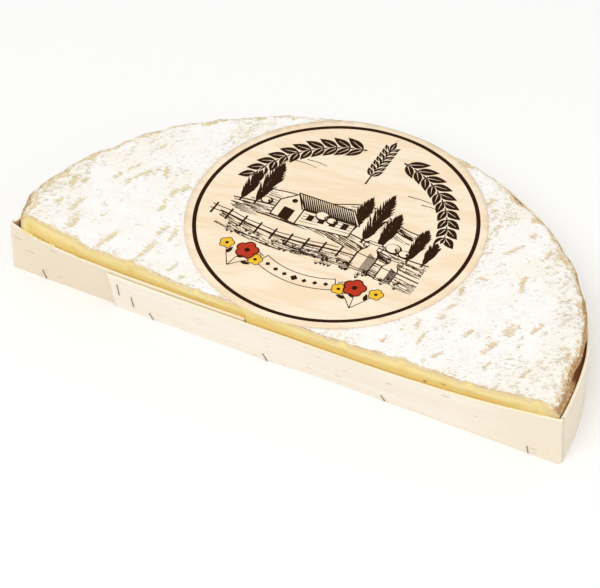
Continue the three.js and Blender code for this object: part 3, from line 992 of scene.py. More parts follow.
@dataclass
class Stage:
    """Plain pale floor, soft studio light and the camera."""

    azimuth: float = 28.877
    elevation: float = 43.931
    roll: float = -1.322
    distance: float = 2.5
    lens: float = 256.06
    target: Triple = (-0.00641, -0.04432, 0.0200)
    floor_side: float = 7.0
    sky: float = 0.765
    floor_colour: Colour = tone("#fbfbfa")
    floor_shade: float = 0.985
    drift: Noise = Noise(900.0, 1.0)
    clip: Pair = (0.1, 50.0)
    lamps: tuple[tuple[str, Triple, float, float], ...] = (
        ("key", (0.1, -1.25, 1.85), 1.3, 17.0),
        ("side", (1.9, 0.1, 1.1), 1.4, 3.0),
    )

    def build(self) -> None:
        """Makes the camera, the lights and the floor."""
        self._camera()
        self._lights()
        self._floor()

    def _camera(self) -> None:
        """Sets the camera at the viewing angle."""
        side, rise, roll = (math.radians(angle) for angle in (self.azimuth, self.elevation, self.roll))
        back = Vector((math.sin(side) * math.cos(rise), -math.cos(side) * math.cos(rise), math.sin(rise)))
        right = Vector((math.cos(side), math.sin(side), 0.0))
        up = back.cross(right)
        turned_right = right * math.cos(roll) + up * math.sin(roll)
        turned_up = up * math.cos(roll) - right * math.sin(roll)
        data = bpy.data.cameras.new("camera")
        data.lens = self.lens
        data.sensor_fit = "HORIZONTAL"
        data.clip_start, data.clip_end = self.clip
        camera = link_object("camera", data)
        axes = Matrix((turned_right, turned_up, back)).transposed()
        camera.matrix_world = Matrix.Translation(Vector(self.target) + back * self.distance) @ axes.to_4x4()
        bpy.context.scene.camera = camera

    def _lights(self) -> None:
        """Makes an even pale sky and soft lamps that point at the middle."""
        world = bpy.data.worlds.new("sky")
        world.use_nodes = True
        background = world.node_tree.nodes["Background"]
        background.inputs["Color"].default_value = (1.0, 1.0, 1.0, 1.0)
        background.inputs["Strength"].default_value = self.sky
        bpy.context.scene.world = world
        for name, place, side, power in self.lamps:
            data = bpy.data.lights.new(name, "AREA")
            data.size, data.energy = side, power
            lamp = link_object(name, data)
            lamp.location = place
            lamp.rotation_euler = Vector(place).to_track_quat("Z", "Y").to_euler()
        bpy.context.scene.view_settings.view_transform = "Standard"

    def _floor(self) -> None:
        """Makes the floor, faintly uneven in tone."""
        half = self.floor_side / 2
        corners = [(-half, -half, 0.0), (half, -half, 0.0), (half, half, 0.0), (-half, half, 0.0)]
        floor = make_piece("floor", np.array(corners), [(0, 1, 2, 3)], None)
        material, graph, shader = surface("floor", {"Roughness": 0.9, "Specular IOR Level": 0.0})
        drift = graph.noise(self.drift)
        shade = (*(part * self.floor_shade for part in self.floor_colour[:3]), 1.0)
        graph.dress(shader, graph.mix(drift, self.floor_colour, shade))
        floor.data.materials.append(material)


# Tray


@dataclass
class TrayWall:
    """The veneer strip: folded at two corners, lapped in front, with a knife-cut top edge."""

    form: TrayForm
    layout: Layout
    front_step: float = 1.6
    back_step: float = 2.4
    fold_steps: int = 7
    heights: tuple[float, ...] = (0.0, 0.012, 0.1, 0.22, 0.36, 0.5, 0.64, 0.78, 0.9)
    near_edge: tuple[float, ...] = (0.9, 0.3)
    edge_round: float = 0.09
    crown_height: float = 0.03
    face_waves: Triple = (30.0, 22.0, 0.16)
    face_wave_grows: Pair = (0.0, 10.0)
    edge_wave: float = 0.08
    edge_wave_size: float = 5.0
    nick_depth: float = 0.14
    nick_size: float = 2.3
    nicks_from: Pair = (0.72, 0.95)
    torn_depth: float = 0.5
    torn_size: float = 2.5
    torn_reach: float = 1.5
    bow_grows_y: Pair = (0.9, 4.4)
    inside_from: float = 0.6
    fold_middle: float = 0.7
    fold_reach: float = 5.0
    inner_run: Pair = (-12.0, 2.0)
    # painted shade from near the right end round the fold and along the side
    side_shade_from: Pair = (215.0, 280.0)
    side_shade_to: Pair = (520.0, 340.0)
    side_shade_share: float = 0.75
    seed: int = 41

    def build(self) -> Piece:
        """Builds the wall and dresses it."""
        foot, out, lean, height, length = self._stations()
        points, strip, edge, inside = self._section_points(foot, out, lean, height, length)
        stations, ring = points.shape[:2]
        numbers = np.arange(stations * ring).reshape(stations, ring)
        closed = join([numbers, numbers[:, :1]], 1)
        faces = [grid_faces(closed)[:, ::-1], self._cap(numbers[0], False), self._cap(numbers[-1], True)]
        piece = make_piece("veneer_wall", points.reshape(-1, 3), join(faces), self.layout)
        run = (length - length[-1]) + (self.form.fold_x + self.form.lap_right)
        # darker wood along the inner run, and painted shade from near the right end round the fold and along
        # the side
        corner = ramp(*self.side_shade_from, length) * ramp(*self.side_shade_to, length)
        dull = np.maximum(ramp(*self.inner_run, run), self.side_shade_share * corner)
        # the top edge gets a painted highlight, the inside a stain with painted shade, and dull darker wood
        # with painted shade round the right side
        paint_points(piece, {"strip": strip.reshape(-1, 3), "top_edge_highlight": edge.ravel(),
                             "inside": inside.ravel(), "dull": np.repeat(dull, ring),
                             "folded": np.repeat(self._folded(foot), ring)})
        piece.data.materials.append(VeneerFinish().material())
        return finish_piece(piece, "veneer", "tray_wall")

    def _stations(self) -> tuple[Array, ...]:
        """Places along the strip: outer foot, way out, lean, height and length so far."""
        form, fold = self.form, self.form.fold_radius
        corner = math.asin((fold - form.centre_y) / form.radius)
        back_count = int(form.radius * (math.pi - 2 * corner) / self.back_step)
        runs = (
            self._front_run(form.lap_left, form.fold_x, form.lap_forward, form.lap_height),
            self._arc((form.fold_x, fold), fold, -math.pi / 2, corner, self.fold_steps),
            self._arc((0.0, form.centre_y), form.radius, corner, math.pi - corner, back_count),
            self._arc((-form.fold_x, fold), fold, math.pi - corner, 1.5 * math.pi, self.fold_steps),
            self._front_run(-form.fold_x, form.lap_right, np.zeros_like, self._full_height),
        )
        foot, out, lean, height = (join(parts) for parts in zip(*runs))
        keep = join([[True], np.linalg.norm(np.diff(foot, axis=0), axis=1) > 1e-6])
        foot, out, lean, height = foot[keep], out[keep], lean[keep], height[keep]
        length = join([[0.0], np.cumsum(np.linalg.norm(np.diff(foot, axis=0), axis=1))])
        return foot, out, lean, height, length

    def _full_height(self, x: Array) -> Array:
        """Height of the strip's inner run."""
        return np.full_like(x, self.form.height)

    def _front_run(self, start: float, end: float, forward: Callable,
                   rise: Callable) -> tuple[Array, ...]:
        """Stations of a stretch of the front wall."""
        x = np.linspace(start, end, int((end - start) / self.front_step))
        foot = np.stack([x, -forward(x)], 1)
        out = np.tile((0.0, -1.0), (len(x), 1))
        return foot, out, self.form.lean(x), rise(x)

    def _arc(self, centre: Array, radius: float, start: float, end: float, steps: int) -> tuple[Array, ...]:
        """Stations of a round stretch."""
        angle = np.linspace(start, end, steps + 1)
        out = np.stack([np.cos(angle), np.sin(angle)], 1)
        return np.array(centre) + radius * out, out, np.zeros_like(angle), self._full_height(angle)

    def _section_points(self, foot: Array, out: Array, lean: Array, height: Array,
                        length: Array) -> tuple[Array, ...]:
        """Points of the strip's section at each station, with what the finish needs there.

        Returns:
            Points, strip coordinates, closeness to the top edge, which gets a painted highlight, and share
            of the inside, which gets a stain deepened by painted shade.
        """
        form, wave, nick = self.form, PlaneNoise(self.seed), PlaneNoise(self.seed + 1)
        edge = self.edge_wave * wave.layered(length / self.edge_wave_size, 3.0, 3)
        edge = edge - self.nick_depth * ramp(*self.nicks_from, nick(length / self.nick_size, 8.0))
        share, through, drop, near = np.array(self._section_rows()).T
        through = through * form.thickness
        rise = (height + edge)[:, None] * share - drop
        foot_x, foot_y = foot.T[:, :, None]
        out_x, out_y = out.T[:, :, None]
        lean, length = lean[:, None], length[:, None]
        bulge = wave.relief(length, rise, self.face_waves) * ramp(*self.face_wave_grows, rise)
        bowed = form.bowed(np.arctan2(foot_y - form.centre_y, foot_x))
        bowed = bowed * ramp(*self.bow_grows_y, foot_y)
        bulge = bulge + bowed * ramp(0.0, form.height, rise)
        ends = np.exp(-length / self.torn_reach) - np.exp(-(length[-1] - length) / self.torn_reach)
        torn = self.torn_depth * nick.layered(rise / self.torn_size, 40.0, 2) * ends
        x = foot_x - out_x * (through - bulge) - torn * out_y
        y = foot_y + out_y * (np.sin(lean) * rise - through + bulge)
        points = np.stack([x, y, np.cos(lean) * rise], 2)
        strip = np.stack(np.broadcast_arrays(length, rise, through), 2)
        edge, inside = near, (through > self.inside_from * form.thickness) * (1.0 - near)
        return points, strip, np.broadcast_to(edge, rise.shape), np.broadcast_to(inside, rise.shape)

    def _section_rows(self) -> list[tuple[float, float, float, float]]:
        """Section of the strip from the outer foot over the top to the inner foot.

        Returns:
            For each point its share of the height, its share through the thickness, its drop
            below the top in millimetres, and its closeness to the top edge.
        """
        outer = [(share, 0.0, 0.0, 0.0) for share in self.heights]
        outer += [(1.0, 0.0, drop, 0.0) for drop in self.near_edge]
        outer.append((1.0, 0.0, self.edge_round, 1.0))
        inner = [(share, 1.0, drop, near) for share, _, drop, near in reversed(outer)]
        corner = self.edge_round / self.form.thickness
        crown = [(1.0, corner, 0.0, 1.0), (1.0, 0.5, -self.crown_height, 1.0), (1.0, 1.0 - corner, 0.0, 1.0)]
        return outer + crown + inner

    def _folded(self, foot: Array) -> Array:
        """Closeness to a folded corner along the strip."""
        middle = self.form.fold_x + self.form.fold_radius * self.fold_middle
        beyond = np.abs(np.abs(foot[:, 0]) - middle)
        return np.exp(-beyond / self.fold_reach) * np.exp(-np.maximum(0.0, foot[:, 1]) / self.fold_reach)

    @staticmethod
    def _cap(ring: Array, last: bool) -> Faces:
        """Closes an end of the strip across its two faces."""
        count = len(ring)
        faces = []
        for low in range(count // 2 - 1):
            high = count - 1 - low
            faces.append((ring[low], ring[low + 1], ring[high]))
            if high - 1 > low + 1:
                faces.append((ring[low + 1], ring[high - 1], ring[high]))
        faces = np.array(faces)
        return faces if last else faces[:, ::-1]


@dataclass
class TrayBoard:
    """The board inside the wall's foot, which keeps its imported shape."""

    node: str = "tray_board"

    def build(self) -> None:
        """Dresses the board."""
        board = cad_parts[self.node]
        board.data.materials.clear()
        board.data.materials.append(BoardFinish().material())
        LOG.info("%s: dressed", self.node)


@dataclass(frozen=True)
class StaplePlace:
    """Where a front staple sits: along the cut, up the wall, its length and its slant."""

    x: float
    height: float
    length: float
    slant: float


@dataclass
class Staples:
    """Wire staples across the wall's foot and on the lap, bent and swept by Geometry Nodes."""

    form: TrayForm
    layout: Layout
    front: tuple[StaplePlace, ...] = tuple(StaplePlace(*row) for row in (
        (-157.8, 3.9, 6.8, 16.0), (-103.4, 20.1, 11.0, -2.0), (-95.2, 12.2, 10.4, 1.0),
        (-83.8, 3.5, 5.6, 20.0), (-8.0, 3.8, 6.8, 17.0), (68.4, 3.4, 5.6, 19.0), (160.5, 3.5, 5.8, 7.0),
    ))
    back_count: int = 5
    back_start: float = 35.0
    back_height: float = 3.2
    back_length: float = 5.2
    back_slant: float = 24.0
    back_slant_spread: float = 9.0
    wire_radius: float = 0.26
    stand_off: float = 0.42
    leg_depth: float = 0.7
    bend: float = 0.55
    bend_points: int = 4
    wire_sides: int = 10

    def build(self) -> Piece:
        """Builds all staples as one piece and dresses it."""
        routes = [self._front_route(place) for place in self.front]
        routes += [self._back_route(index) for index in range(self.back_count)]
        points = join(routes)
        mesh = bpy.data.meshes.new("staple_routes")
        edges = [(4 * index + leg, 4 * index + leg + 1) for index in range(len(routes)) for leg in range(3)]
        mesh.from_pydata(self.layout.place(points).tolist(), edges, [])
        source = link_object("staple_routes", mesh)
        wire = WireFinish().material()
        modifier = source.modifiers.new("sweep", "NODES")
        modifier.node_group = self._tree(wire)
        sizes = {"Wire radius": self.wire_radius * MM, "Bend radius": self.bend * MM}
        for item in modifier.node_group.interface.items_tree:
            if item.in_out == "INPUT" and item.name in sizes:
                modifier[item.identifier] = sizes[item.name]
        piece = baked(source, "staples")
        names = [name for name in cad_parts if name.startswith("staple_")]
        return finish_piece(piece, "staple_wire", *names)

    def _route(self, foot: Array, out: Array, lean: float, place: StaplePlace) -> Array:
        """Four points of a staple: a leg in the wood, two bends and the other leg."""
        up = np.array((out[0] * math.sin(lean), out[1] * math.sin(lean), math.cos(lean)))
        right = np.array((-out[1], out[0], 0.0))
        away = np.cross(right, up)
        slant = math.radians(place.slant)
        crown = right * math.sin(slant) - up * math.cos(slant)
        middle = np.array((foot[0], foot[1], 0.0)) + up * place.height
        ends = [middle - crown * place.length / 2, middle + crown * place.length / 2]
        return np.array([ends[0] - away * self.leg_depth, ends[0] + away * self.stand_off,
                         ends[1] + away * self.stand_off, ends[1] - away * self.leg_depth])

    def _front_route(self, place: StaplePlace) -> Array:
        """Route of a staple in the front wall."""
        forward = float(self.form.lap_forward(place.x)) if place.x > self.form.lap_left else 0.0
        return self._route((place.x, -forward), (0.0, -1.0), float(self.form.lean(place.x)), place)

    def _back_route(self, index: int) -> Array:
        """Route of a staple in the round wall."""
        share = index / (self.back_count - 1)
        out = toward(blend(self.back_start, 180.0 - self.back_start, share))
        foot = self.form.radius * out + (0.0, self.form.centre_y)
        slant = self.back_slant + self.back_slant_spread * math.sin(index * index)
        return self._route(foot, out, 0.0, StaplePlace(0.0, self.back_height, self.back_length, slant))

    def _tree(self, material: Material) -> bpy.types.NodeTree:
        """Tree that rounds each route's corners and sweeps the wire along it."""
        tree = bpy.data.node_groups.new("staple_wire", "GeometryNodeTree")
        for name, way, kind in (("Geometry", "INPUT", "Geometry"), ("Wire radius", "INPUT", "Float"),
                                ("Bend radius", "INPUT", "Float"), ("Geometry", "OUTPUT", "Geometry")):
            tree.interface.new_socket(name, in_out=way, socket_type=f"NodeSocket{kind}")
        graph = Graph(tree)
        given = graph.node("NodeGroupInput").outputs
        route = graph.node("GeometryNodeMeshToCurve", None, {0: given[0]}).outputs[0]
        rounded = graph.node("GeometryNodeFilletCurve", None, {"Curve": route, "Radius": given[2]})
        if "Mode" in rounded.inputs:
            rounded.inputs["Mode"].default_value = "Poly"
        else:
            rounded.mode = "POLY"
        rounded.inputs["Count"].default_value = self.bend_points
        ring = graph.node("GeometryNodeCurvePrimitiveCircle", None,
                          {"Resolution": self.wire_sides, "Radius": given[1]})
        links = {0: rounded.outputs[0], "Profile Curve": ring.outputs[0], "Fill Caps": True}
        wire = graph.node("GeometryNodeCurveToMesh", None, links).outputs[0]
        for kind, inputs in (("SetShadeSmooth", {}), ("RealizeInstances", {}),
                             ("SetMaterial", {"Material": material})):
            wire = graph.node(f"GeometryNode{kind}", None, {0: wire, **inputs}).outputs[0]
        graph.node("NodeGroupOutput", None, {0: wire})
        return tree


# Cheese


@dataclass(frozen=True)
class WornMark:
    """A place on top where the bloom has worn off: its middle, length, width and turn from x."""

    x: float
    y: float
    length: float
    width: float
    turn: float


@dataclass(frozen=True)
class RindPattern:
    """Relief and wear of the rind, laid out by the mats that the wheel was turned on.

    The sizes are of the features of each noise, in millimetres along its two ways.
    """

    form: CheeseForm
    label: LabelForm
    row_turn: float = 78.0
    row_size: Pair = (8.5, 34.0)
    row_depth: float = 0.16
    rung_turn: float = 23.5
    rung_size: Pair = (4.4, 1.7)
    rung_depth: float = 0.14
    region_size: Pair = (42.0, 42.0)
    region_edge: Pair = (-0.25, 0.55)
    broad_waves: Triple = (38.0, 38.0, 0.35)
    top_grain: Triple = (1.5, 1.5, 0.07)
    worn_depth: float = 0.28
    under_label: float = 0.1
    label_edge: Pair = (1.0, -3.0)
    busy_ends: Pair = (105.0, 160.0)
    busy_by_rim: Pair = (0.7, 9.0)
    busy_by_cut: Pair = (0.45, 5.0)
    blank_edge: Pair = (0.7, 1.15)
    blank_edge_size: float = 6.0
    rows_fade_right: Pair = (40.0, 90.0)
    lumps: Triple = (15.0, 9.0, 0.75)
    fold_size: Pair = (16.0, 2.6)
    fold_depth: float = 0.45
    creases: Triple = (3.4, 7.0, 0.22)
    rim_grain: Triple = (1.4, 1.4, 0.1)
    pale_size: Pair = (5.0, 1.7)
    wander_size: float = 9.0
    dash_size: Pair = (2.6, 2.0)
    wear_turn: Pair = (0.25, 1.3)
    wear_starts: Pair = (3.8, 1.4)
    wear_wander: Pair = (4.0, 5.2)
    brown_shade_turn: Pair = (0.3, 1.5)
    brown_shade_starts: Pair = (6.6, 5.4)
    marks: tuple[WornMark, ...] = tuple(WornMark(*row) for row in (
        (123, 25, 17, 5.0, 77), (128, 44, 13, 7.0, 70), (78, 24, 10, 3.5, 100), (85, 15, 13, 3.0, 86),
        (88, 36, 7, 4.0, 60), (89, 46, 9, 2.4, 65), (88, 60, 11, 3.5, 98), (99, 7, 8, 2.4, 65),
        (94, -1, 4, 5.0, 16), (117, 81, 17, 4.0, 105), (70, 136, 10, 5.5, 80), (100, 104, 16, 2.6, 58),
        (106, 120, 7, 4.0, 86), (95, 75, 7, 2.6, 10), (147, 81, 12, 2.4, 45), (-116, 6, 21, 4.5, 73),
        (-91, 7, 23, 4.5, 78), (-91, 27, 13, 4.0, 74), (-84, 27, 14, 3.6, 95), (-101, 46, 11, 4.0, 99),
        (-101, 58, 10, 4.0, 80), (-96, 64, 8, 5.0, 60), (-113, 71, 12, 6.0, 110),
        (-133, 67, 13, 4.0, 66), (-138, 57, 8, 4.0, 75), (-130, 55, 8, 5.0, 100),
        (-159, 40, 15, 5.0, 100), (-154, 44, 8, 4.0, 61), (-142, 10, 18, 7.0, 90),
        (-126, 91, 7, 2.6, 75), (-125, 64, 14, 4.0, 60), (-147, 24, 14, 5.0, 84),
        (-158, 22, 8, 4.0, 70), (-70, 2, 9, 3.0, 75), (-62, -4, 6, 3.0, 60), (107, 30, 11, 3.0, 72),
        (128, 12, 9, 3.0, 80), (66, 5, 8, 3.0, 75), (150, 15, 10, 3.4, 70), (141, 52, 12, 3.0, 76),
        (120, 108, 10, 3.0, 80), (84, 118, 9, 3.0, 70),
    ))
    blanks: tuple[tuple[float, float, float, float], ...] = (
        (-113, 45, 11, 27), (-145, 52, 9, 13), (-105, 14, 12, 13), (-110, 118, 16, 14), (-70, 150, 14, 8),
        (105, 56, 11, 26), (110, 20, 11, 12), (146, 36, 8, 12), (103, 112, 13, 22), (136, 66, 7, 14),
        (60, 12, 12, 8), (-152, 82, 8, 10),
    )
    seed: int = 11

    def _noises(self) -> list[PlaneNoise]:
        """Noises of the pattern's layers."""
        return [PlaneNoise(self.seed + step) for step in range(6)]

    def top(self, x: Array, y: Array, from_rim: Array, from_cut: Array) -> tuple[Array, ...]:
        """Pattern on the upper side.

        Args:
            x: Places along the cut.
            y: Places back from it.
            from_rim: Distance in from the start of the shoulder, less than 0 beyond it.
            from_cut: Distance back from the cut's edge.

        Returns:
            Height, wear of whole marks, strength of the rows, and busyness at each place.
        """
        broad, row, rung, _, patch, fine = self._noises()
        rows = row.sized(along(x, y, self.row_turn - 90), along(x, y, self.row_turn), self.row_size)
        rungs = rung.sized(along(x, y, self.rung_turn), along(x, y, self.rung_turn + 90), self.rung_size)
        region = ramp(*self.region_edge, patch.sized(x, y, self.region_size))
        edges = fade(from_rim, *self.busy_by_rim) + fade(from_cut, *self.busy_by_cut)
        busy = 0.35 + 0.65 * region + 0.3 * ramp(*self.busy_ends, np.abs(x)) + edges
        busy = np.clip(busy, 0.0, 1.5)
        for middle_x, middle_y, half_x, half_y in self.blanks:
            reach = np.hypot((x - middle_x) / half_x, (y - middle_y) / half_y)
            reach = reach + 0.25 * patch(x / self.blank_edge_size + 9, y / self.blank_edge_size)
            busy = busy * ramp(*self.blank_edge, reach)
        columns = ramp(-0.15, 0.45, rows) * np.minimum(1.0, busy)
        columns = columns * blend(1.0, 0.85, ramp(*self.rows_fade_right, x))
        worn = np.zeros_like(x)
        for mark in self.marks:
            length = along(x - mark.x, y - mark.y, mark.turn) / (mark.length / 2)
            width = along(x - mark.x, y - mark.y, mark.turn + 90) / (mark.width / 2)
            worn = np.maximum(worn, np.exp(-(length ** 4) - width ** 2))
        height = broad.relief(x, y, self.broad_waves) + self.row_depth * rows
        height = height + self.rung_depth * rungs * (0.5 + 0.5 * busy) - self.worn_depth * worn
        height = height + fine.relief(x, y, self.top_grain)
        outer, inner = (self.label.radius + beyond for beyond in self.label_edge)
        held = ramp(outer, inner, self.label.distance(x, y))
        height = blend(height, np.minimum(height, self.under_label) * 0.5, held)
        return height, worn, columns, busy

    def rim(self, angle: Array, outward: Array) -> tuple[Array, Array, Array]:
        """Pattern on the shoulder and the side.

        Args:
            angle: Angle round the wheel.
            outward: Distance over the shoulder from where it starts.

        Returns:
            Height, wear, and darkness at each place: the rind's browner far side, with painted shade where
                it turns away from the light.
        """
        broad, row, rung, dash, patch, fine = self._noises()
        run = angle * self.form.tray.radius
        folds = 0.5 - np.abs(row.sized(run, outward, self.fold_size, (60.0, 0.0))) * 2.4
        height = broad.relief(run, outward, self.lumps) + self.fold_depth * np.maximum(-0.6, folds)
        height = height + rung.relief(run, outward, self.creases, (30.0, 0.0))
        height = height + fine.relief(run, outward, self.rim_grain, (0.0, 50.0))
        left = ramp(*self.wear_turn, angle)
        wander = blend(*self.wear_wander, left) * patch.layered(run / self.wander_size, 5.0, 3)
        wander = wander + 1.6 * dash(run / self.dash_size[0], outward / self.dash_size[1])
        worn = ramp(-1.6, 1.2, outward - blend(*self.wear_starts, left) + wander)
        pale = ramp(-0.2, 0.5, dash.sized(run, outward, self.pale_size, (0.0, 20.0)))
        # where the far side turns darker: the rind's own brown with painted shade
        shade_starts = blend(*self.brown_shade_starts, ramp(*self.brown_shade_turn, angle))
        dark = ramp(-1.6, 2.6, outward - shade_starts + 0.6 * wander)
        return height, worn * (1.0 - 0.5 * pale), dark


@dataclass
class CheeseHalf:
    """The half wheel: a fine rind on top and round the rim, and the swelling cut face."""

    form: CheeseForm
    label: LabelForm
    layout: Layout
    grain: float = 0.69
    covered_margin: float = 3.5
    covered_step: int = 9
    shoulder_rows: int = 17
    side_heights: tuple[float, ...] = (36.7, 36.0, 35.2, 33.5, 28.0, 19.0, 13.3, 9.8, 7.4, 6.3)
    correction_reach: float = 25.0
    right_end_share: float = 0.3
    under_middle: Pair = (0.0, 60.0)
    shoulder_from: Pair = (-5.0, 4.0)
    rim_wear_from: Pair = (-9.0, -2.0)
    cut_from: Pair = (-0.6, 0.8)
    facing_front: Pair = (-0.3, -0.6)
    held_relief: float = 0.12
    # painted shade in the gap between cheese and wall: below which height it lies, and how it fades at each
    # end
    gap_shade_below: Pair = (38.8, 36.4)
    gap_shade_fades_right: Pair = (0.17, 0.26)
    gap_shade_fades_left: Pair = (2.9, 3.05)
    swells: Triple = (24.0, 14.0, 0.4)
    drags: Triple = (16.0, 1.6, 0.06)
    lip_size: float = 4.0
    lip_depth: float = 0.45
    lip_ends: Pair = (0.2, 1.9)
    lobe_from: Pair = (-4.0, 0.0)
    lobes: tuple[Triple, ...] = (
        (-94.0, 2.6, 2.0), (-48.0, 2.0, 2.0), (47.0, 2.2, 2.2), (126.0, 1.6, 2.6), (166.0, 1.8, 2.0),
        (-133.0, 1.2, 2.0), (84.0, 1.3, 2.4),
    )
    pits: tuple[Pair, ...] = ((98.0, 35.5), (109.6, 37.6))
    pit_reach: Pair = (1.9, 0.8)
    pit_depth: float = 0.45
    smears: tuple[Triple, ...] = (
        (-171.5, -161.5, 1.5), (-159.5, -155.5, 1.0), (-150.5, -146.5, 1.2), (-131.0, -127.5, 0.7),
    )
    smear_steps: int = 14
    smear_sway_size: float = 2.6
    smear_place: Pair = (0.9, 0.25)
    smear_flat: float = 0.6
    smear_depth: float = 3.0
    seed: int = 23

    def build(self) -> Piece:
        """Builds the half wheel and dresses it."""
        top_points, top_faces, rows, row_shares = self._top()
        rim_shares = row_shares[-1]
        heights = self._side_levels()
        side_points, rim_grid, cut_grid = self._sides(len(top_points), top_points, rows, rim_shares, heights)
        points = join([top_points, side_points])
        faces = [top_faces, grid_faces(rim_grid)[:, ::-1], grid_faces(cut_grid)[:, ::-1]]
        ring = join([rim_grid[-1], cut_grid[-1][1:-1]])
        centre = len(points)
        points = join([points, [[*self.under_middle, self.form.foot]]])
        faces.append(np.stack([ring, np.full(len(ring), centre), np.roll(ring, -1)], 1))
        faces = join(faces)
        points, fields = self._weather(points, faces)
        for start, end, size in self.smears:
            curl, curl_faces = self._smear(start, end, size)
            faces = join([faces, curl_faces + len(points)])
            points = join([points, curl])
        for name, values in fields.items():
            bare = self.smear_depth if name == "below_rind" else 0.0
            fields[name] = join([values, np.full(len(points) - len(values), bare)])
        piece = make_piece("cheese_half", points, faces, self.layout)
        paint_points(piece, fields)
        piece.data.materials.append(CheeseFinish().material())
        return finish_piece(piece, "cheese", "cheese")

    def _smear(self, start: float, end: float, size: float) -> tuple[Points, Faces]:
        """A curl of paste scraped over the wall's top edge between two places along the cut."""
        tray = self.form.tray
        x = np.linspace(start, end, self.smear_steps)
        share = np.clip(np.linspace(0.0, 1.0, self.smear_steps), 0.04, 0.96)
        sway = PlaneNoise(self.seed + 7).layered(x / self.smear_sway_size, size, 2)
        y = -np.sin(tray.lean(x)) * tray.height + self.smear_place[0] + 0.5 * sway
        z = np.cos(tray.lean(x)) * tray.height + self.smear_place[1] + 0.35 * sway
        radii = size * (0.35 + 0.65 * np.sin(math.pi * share)) * (1.0 + 0.3 * sway)
        return lump(np.stack([x, y, z], 1), radii, self.smear_flat)

    def _top(self) -> tuple[Points, Faces, list[Array], list[Array]]:
        """The flat upper side: rows shrunk from the rim's line towards a point on the cut.

        Returns:
            Points, faces, the vertex numbers of each row, and each row's shares from right to left.
        """
        form = self.form
        right, left = form.end_angle(False, form.top), form.end_angle(True, form.top)
        pole = np.array((0.0, float(form.cut_y(0.0, form.top))))
        reach = form.radius(math.pi / 2, form.top) - form.shoulder - (pole[1] - form.tray.centre_y)
        count = int(reach / self.grain)
        points = [np.array([[pole[0], pole[1], form.top]])]
        rows, shares = [np.array([0])], [np.array([0.5])]
        total = 1
        for row in range(1, count + 1):
            scale = row / count
            steps = max(3, int(scale * math.pi * reach / self.grain))
            share = np.linspace(0.0, 1.0, steps + 1)
            x, y = form.rim_point(blend(right, left, share), form.top)
            x, y = pole[0] + scale * (x - pole[0]), pole[1] + scale * (y - pole[1])
            y = y + self._cut_correction(x, y, pole, right, left)
            if row < count:
                under = self.label.distance(x, y) < self.label.radius - self.covered_margin
                every = np.arange(steps + 1) % self.covered_step == 0
                keep = ~under | every
                keep[0] = keep[-1] = True
                x, y, share = x[keep], y[keep], share[keep]
            points.append(np.stack([x, y, np.full_like(x, form.top)], 1))
            rows.append(np.arange(total, total + len(x)))
            shares.append(share)
            total += len(x)
        faces = [self._zipper(rows[index], shares[index], rows[index + 1], shares[index + 1])
                 for index in range(count)]
        return join(points), join(faces), rows, shares

    def _cut_correction(self, x: Array, y: Array, pole: Array, right: float, left: float) -> Array:
        """Shift that brings the rows' ends from a straight line onto the cut's swelling edge."""
        form = self.form
        right_end, left_end = form.rim_point(right, form.top), form.rim_point(left, form.top)
        slope = np.where(x > pole[0], (right_end[1] - pole[1]) / (right_end[0] - pole[0]),
                         (left_end[1] - pole[1]) / (left_end[0] - pole[0]))
        line = pole[1] + slope * (x - pole[0])
        return (form.cut_y(x, form.top) - line) * (1.0 - ramp(0.0, self.correction_reach, y - line))

    @staticmethod
    def _zipper(inner: Array, inner_shares: Array, outer: Array, outer_shares: Array) -> Faces:
        """Faces between two rows of different counts, stepping along whichever is behind."""
        faces, near, far = [], 0, 0
        while near < len(inner) - 1 or far < len(outer) - 1:
            step_outer = near == len(inner) - 1
            if not step_outer and far < len(outer) - 1:
                step_outer = outer_shares[far + 1] <= inner_shares[near + 1]
            if step_outer:
                faces.append((inner[near], outer[far], outer[far + 1]))
                far += 1
            else:
                faces.append((inner[near], outer[far], inner[near + 1]))
                near += 1
        return np.array(faces)

    def _side_levels(self) -> Array:
        """Heights of the rows below the upper side: round the shoulder, then down the side."""
        turn = np.linspace(math.pi / 2, 0.0, self.shoulder_rows + 1)[1:]
        shoulder = self.form.top - self.form.shoulder * (1 - np.sin(turn))
        return join([shoulder, self.side_heights])

    def _sides(self, first: int, top: Points, rows: list[Array], shares: Array,
               heights: Array) -> tuple[Points, Array, Array]:
        """Rows of the rim and of the cut face below the upper side.

        Args:
            first: Number that the first new vertex gets.
            top: Points of the upper side.
            rows: Vertex numbers of its rows.
            shares: Shares of its last row from right to left.
            heights: Heights of the new rows.

        Returns:
            New points, the rim's grid of vertex numbers from the right end to the left, and the
            cut face's grid from the left end to the right, upper row first.
        """
        edge = join([[row[-1] for row in rows[:0:-1]], rows[0], [row[0] for row in rows[1:]]])
        edge_x = top[edge, 0]
        edge_share = (edge_x - edge_x[0]) / (edge_x[-1] - edge_x[0])
        points, rim_grid, cut_grid, number = [], [rows[-1]], [edge], first
        for z in heights:
            right, left = self.form.end_angle(False, z), self.form.end_angle(True, z)
            x, y = self.form.rim_point(blend(right, left, shares), z)
            across = blend(x[-1], x[0], edge_share[1:-1])
            points.append(np.stack([x, y, np.full_like(x, z)], 1))
            points.append(np.stack([across, self.form.cut_y(across, z), np.full_like(across, z)], 1))
            rim = np.arange(number, number + len(x))
            inner = np.arange(number + len(x), number + len(x) + len(across))
            rim_grid.append(rim)
            cut_grid.append(join([[rim[-1]], inner, [rim[0]]]))
            number += len(x) + len(across)
        return join(points), np.array(rim_grid), np.array(cut_grid)

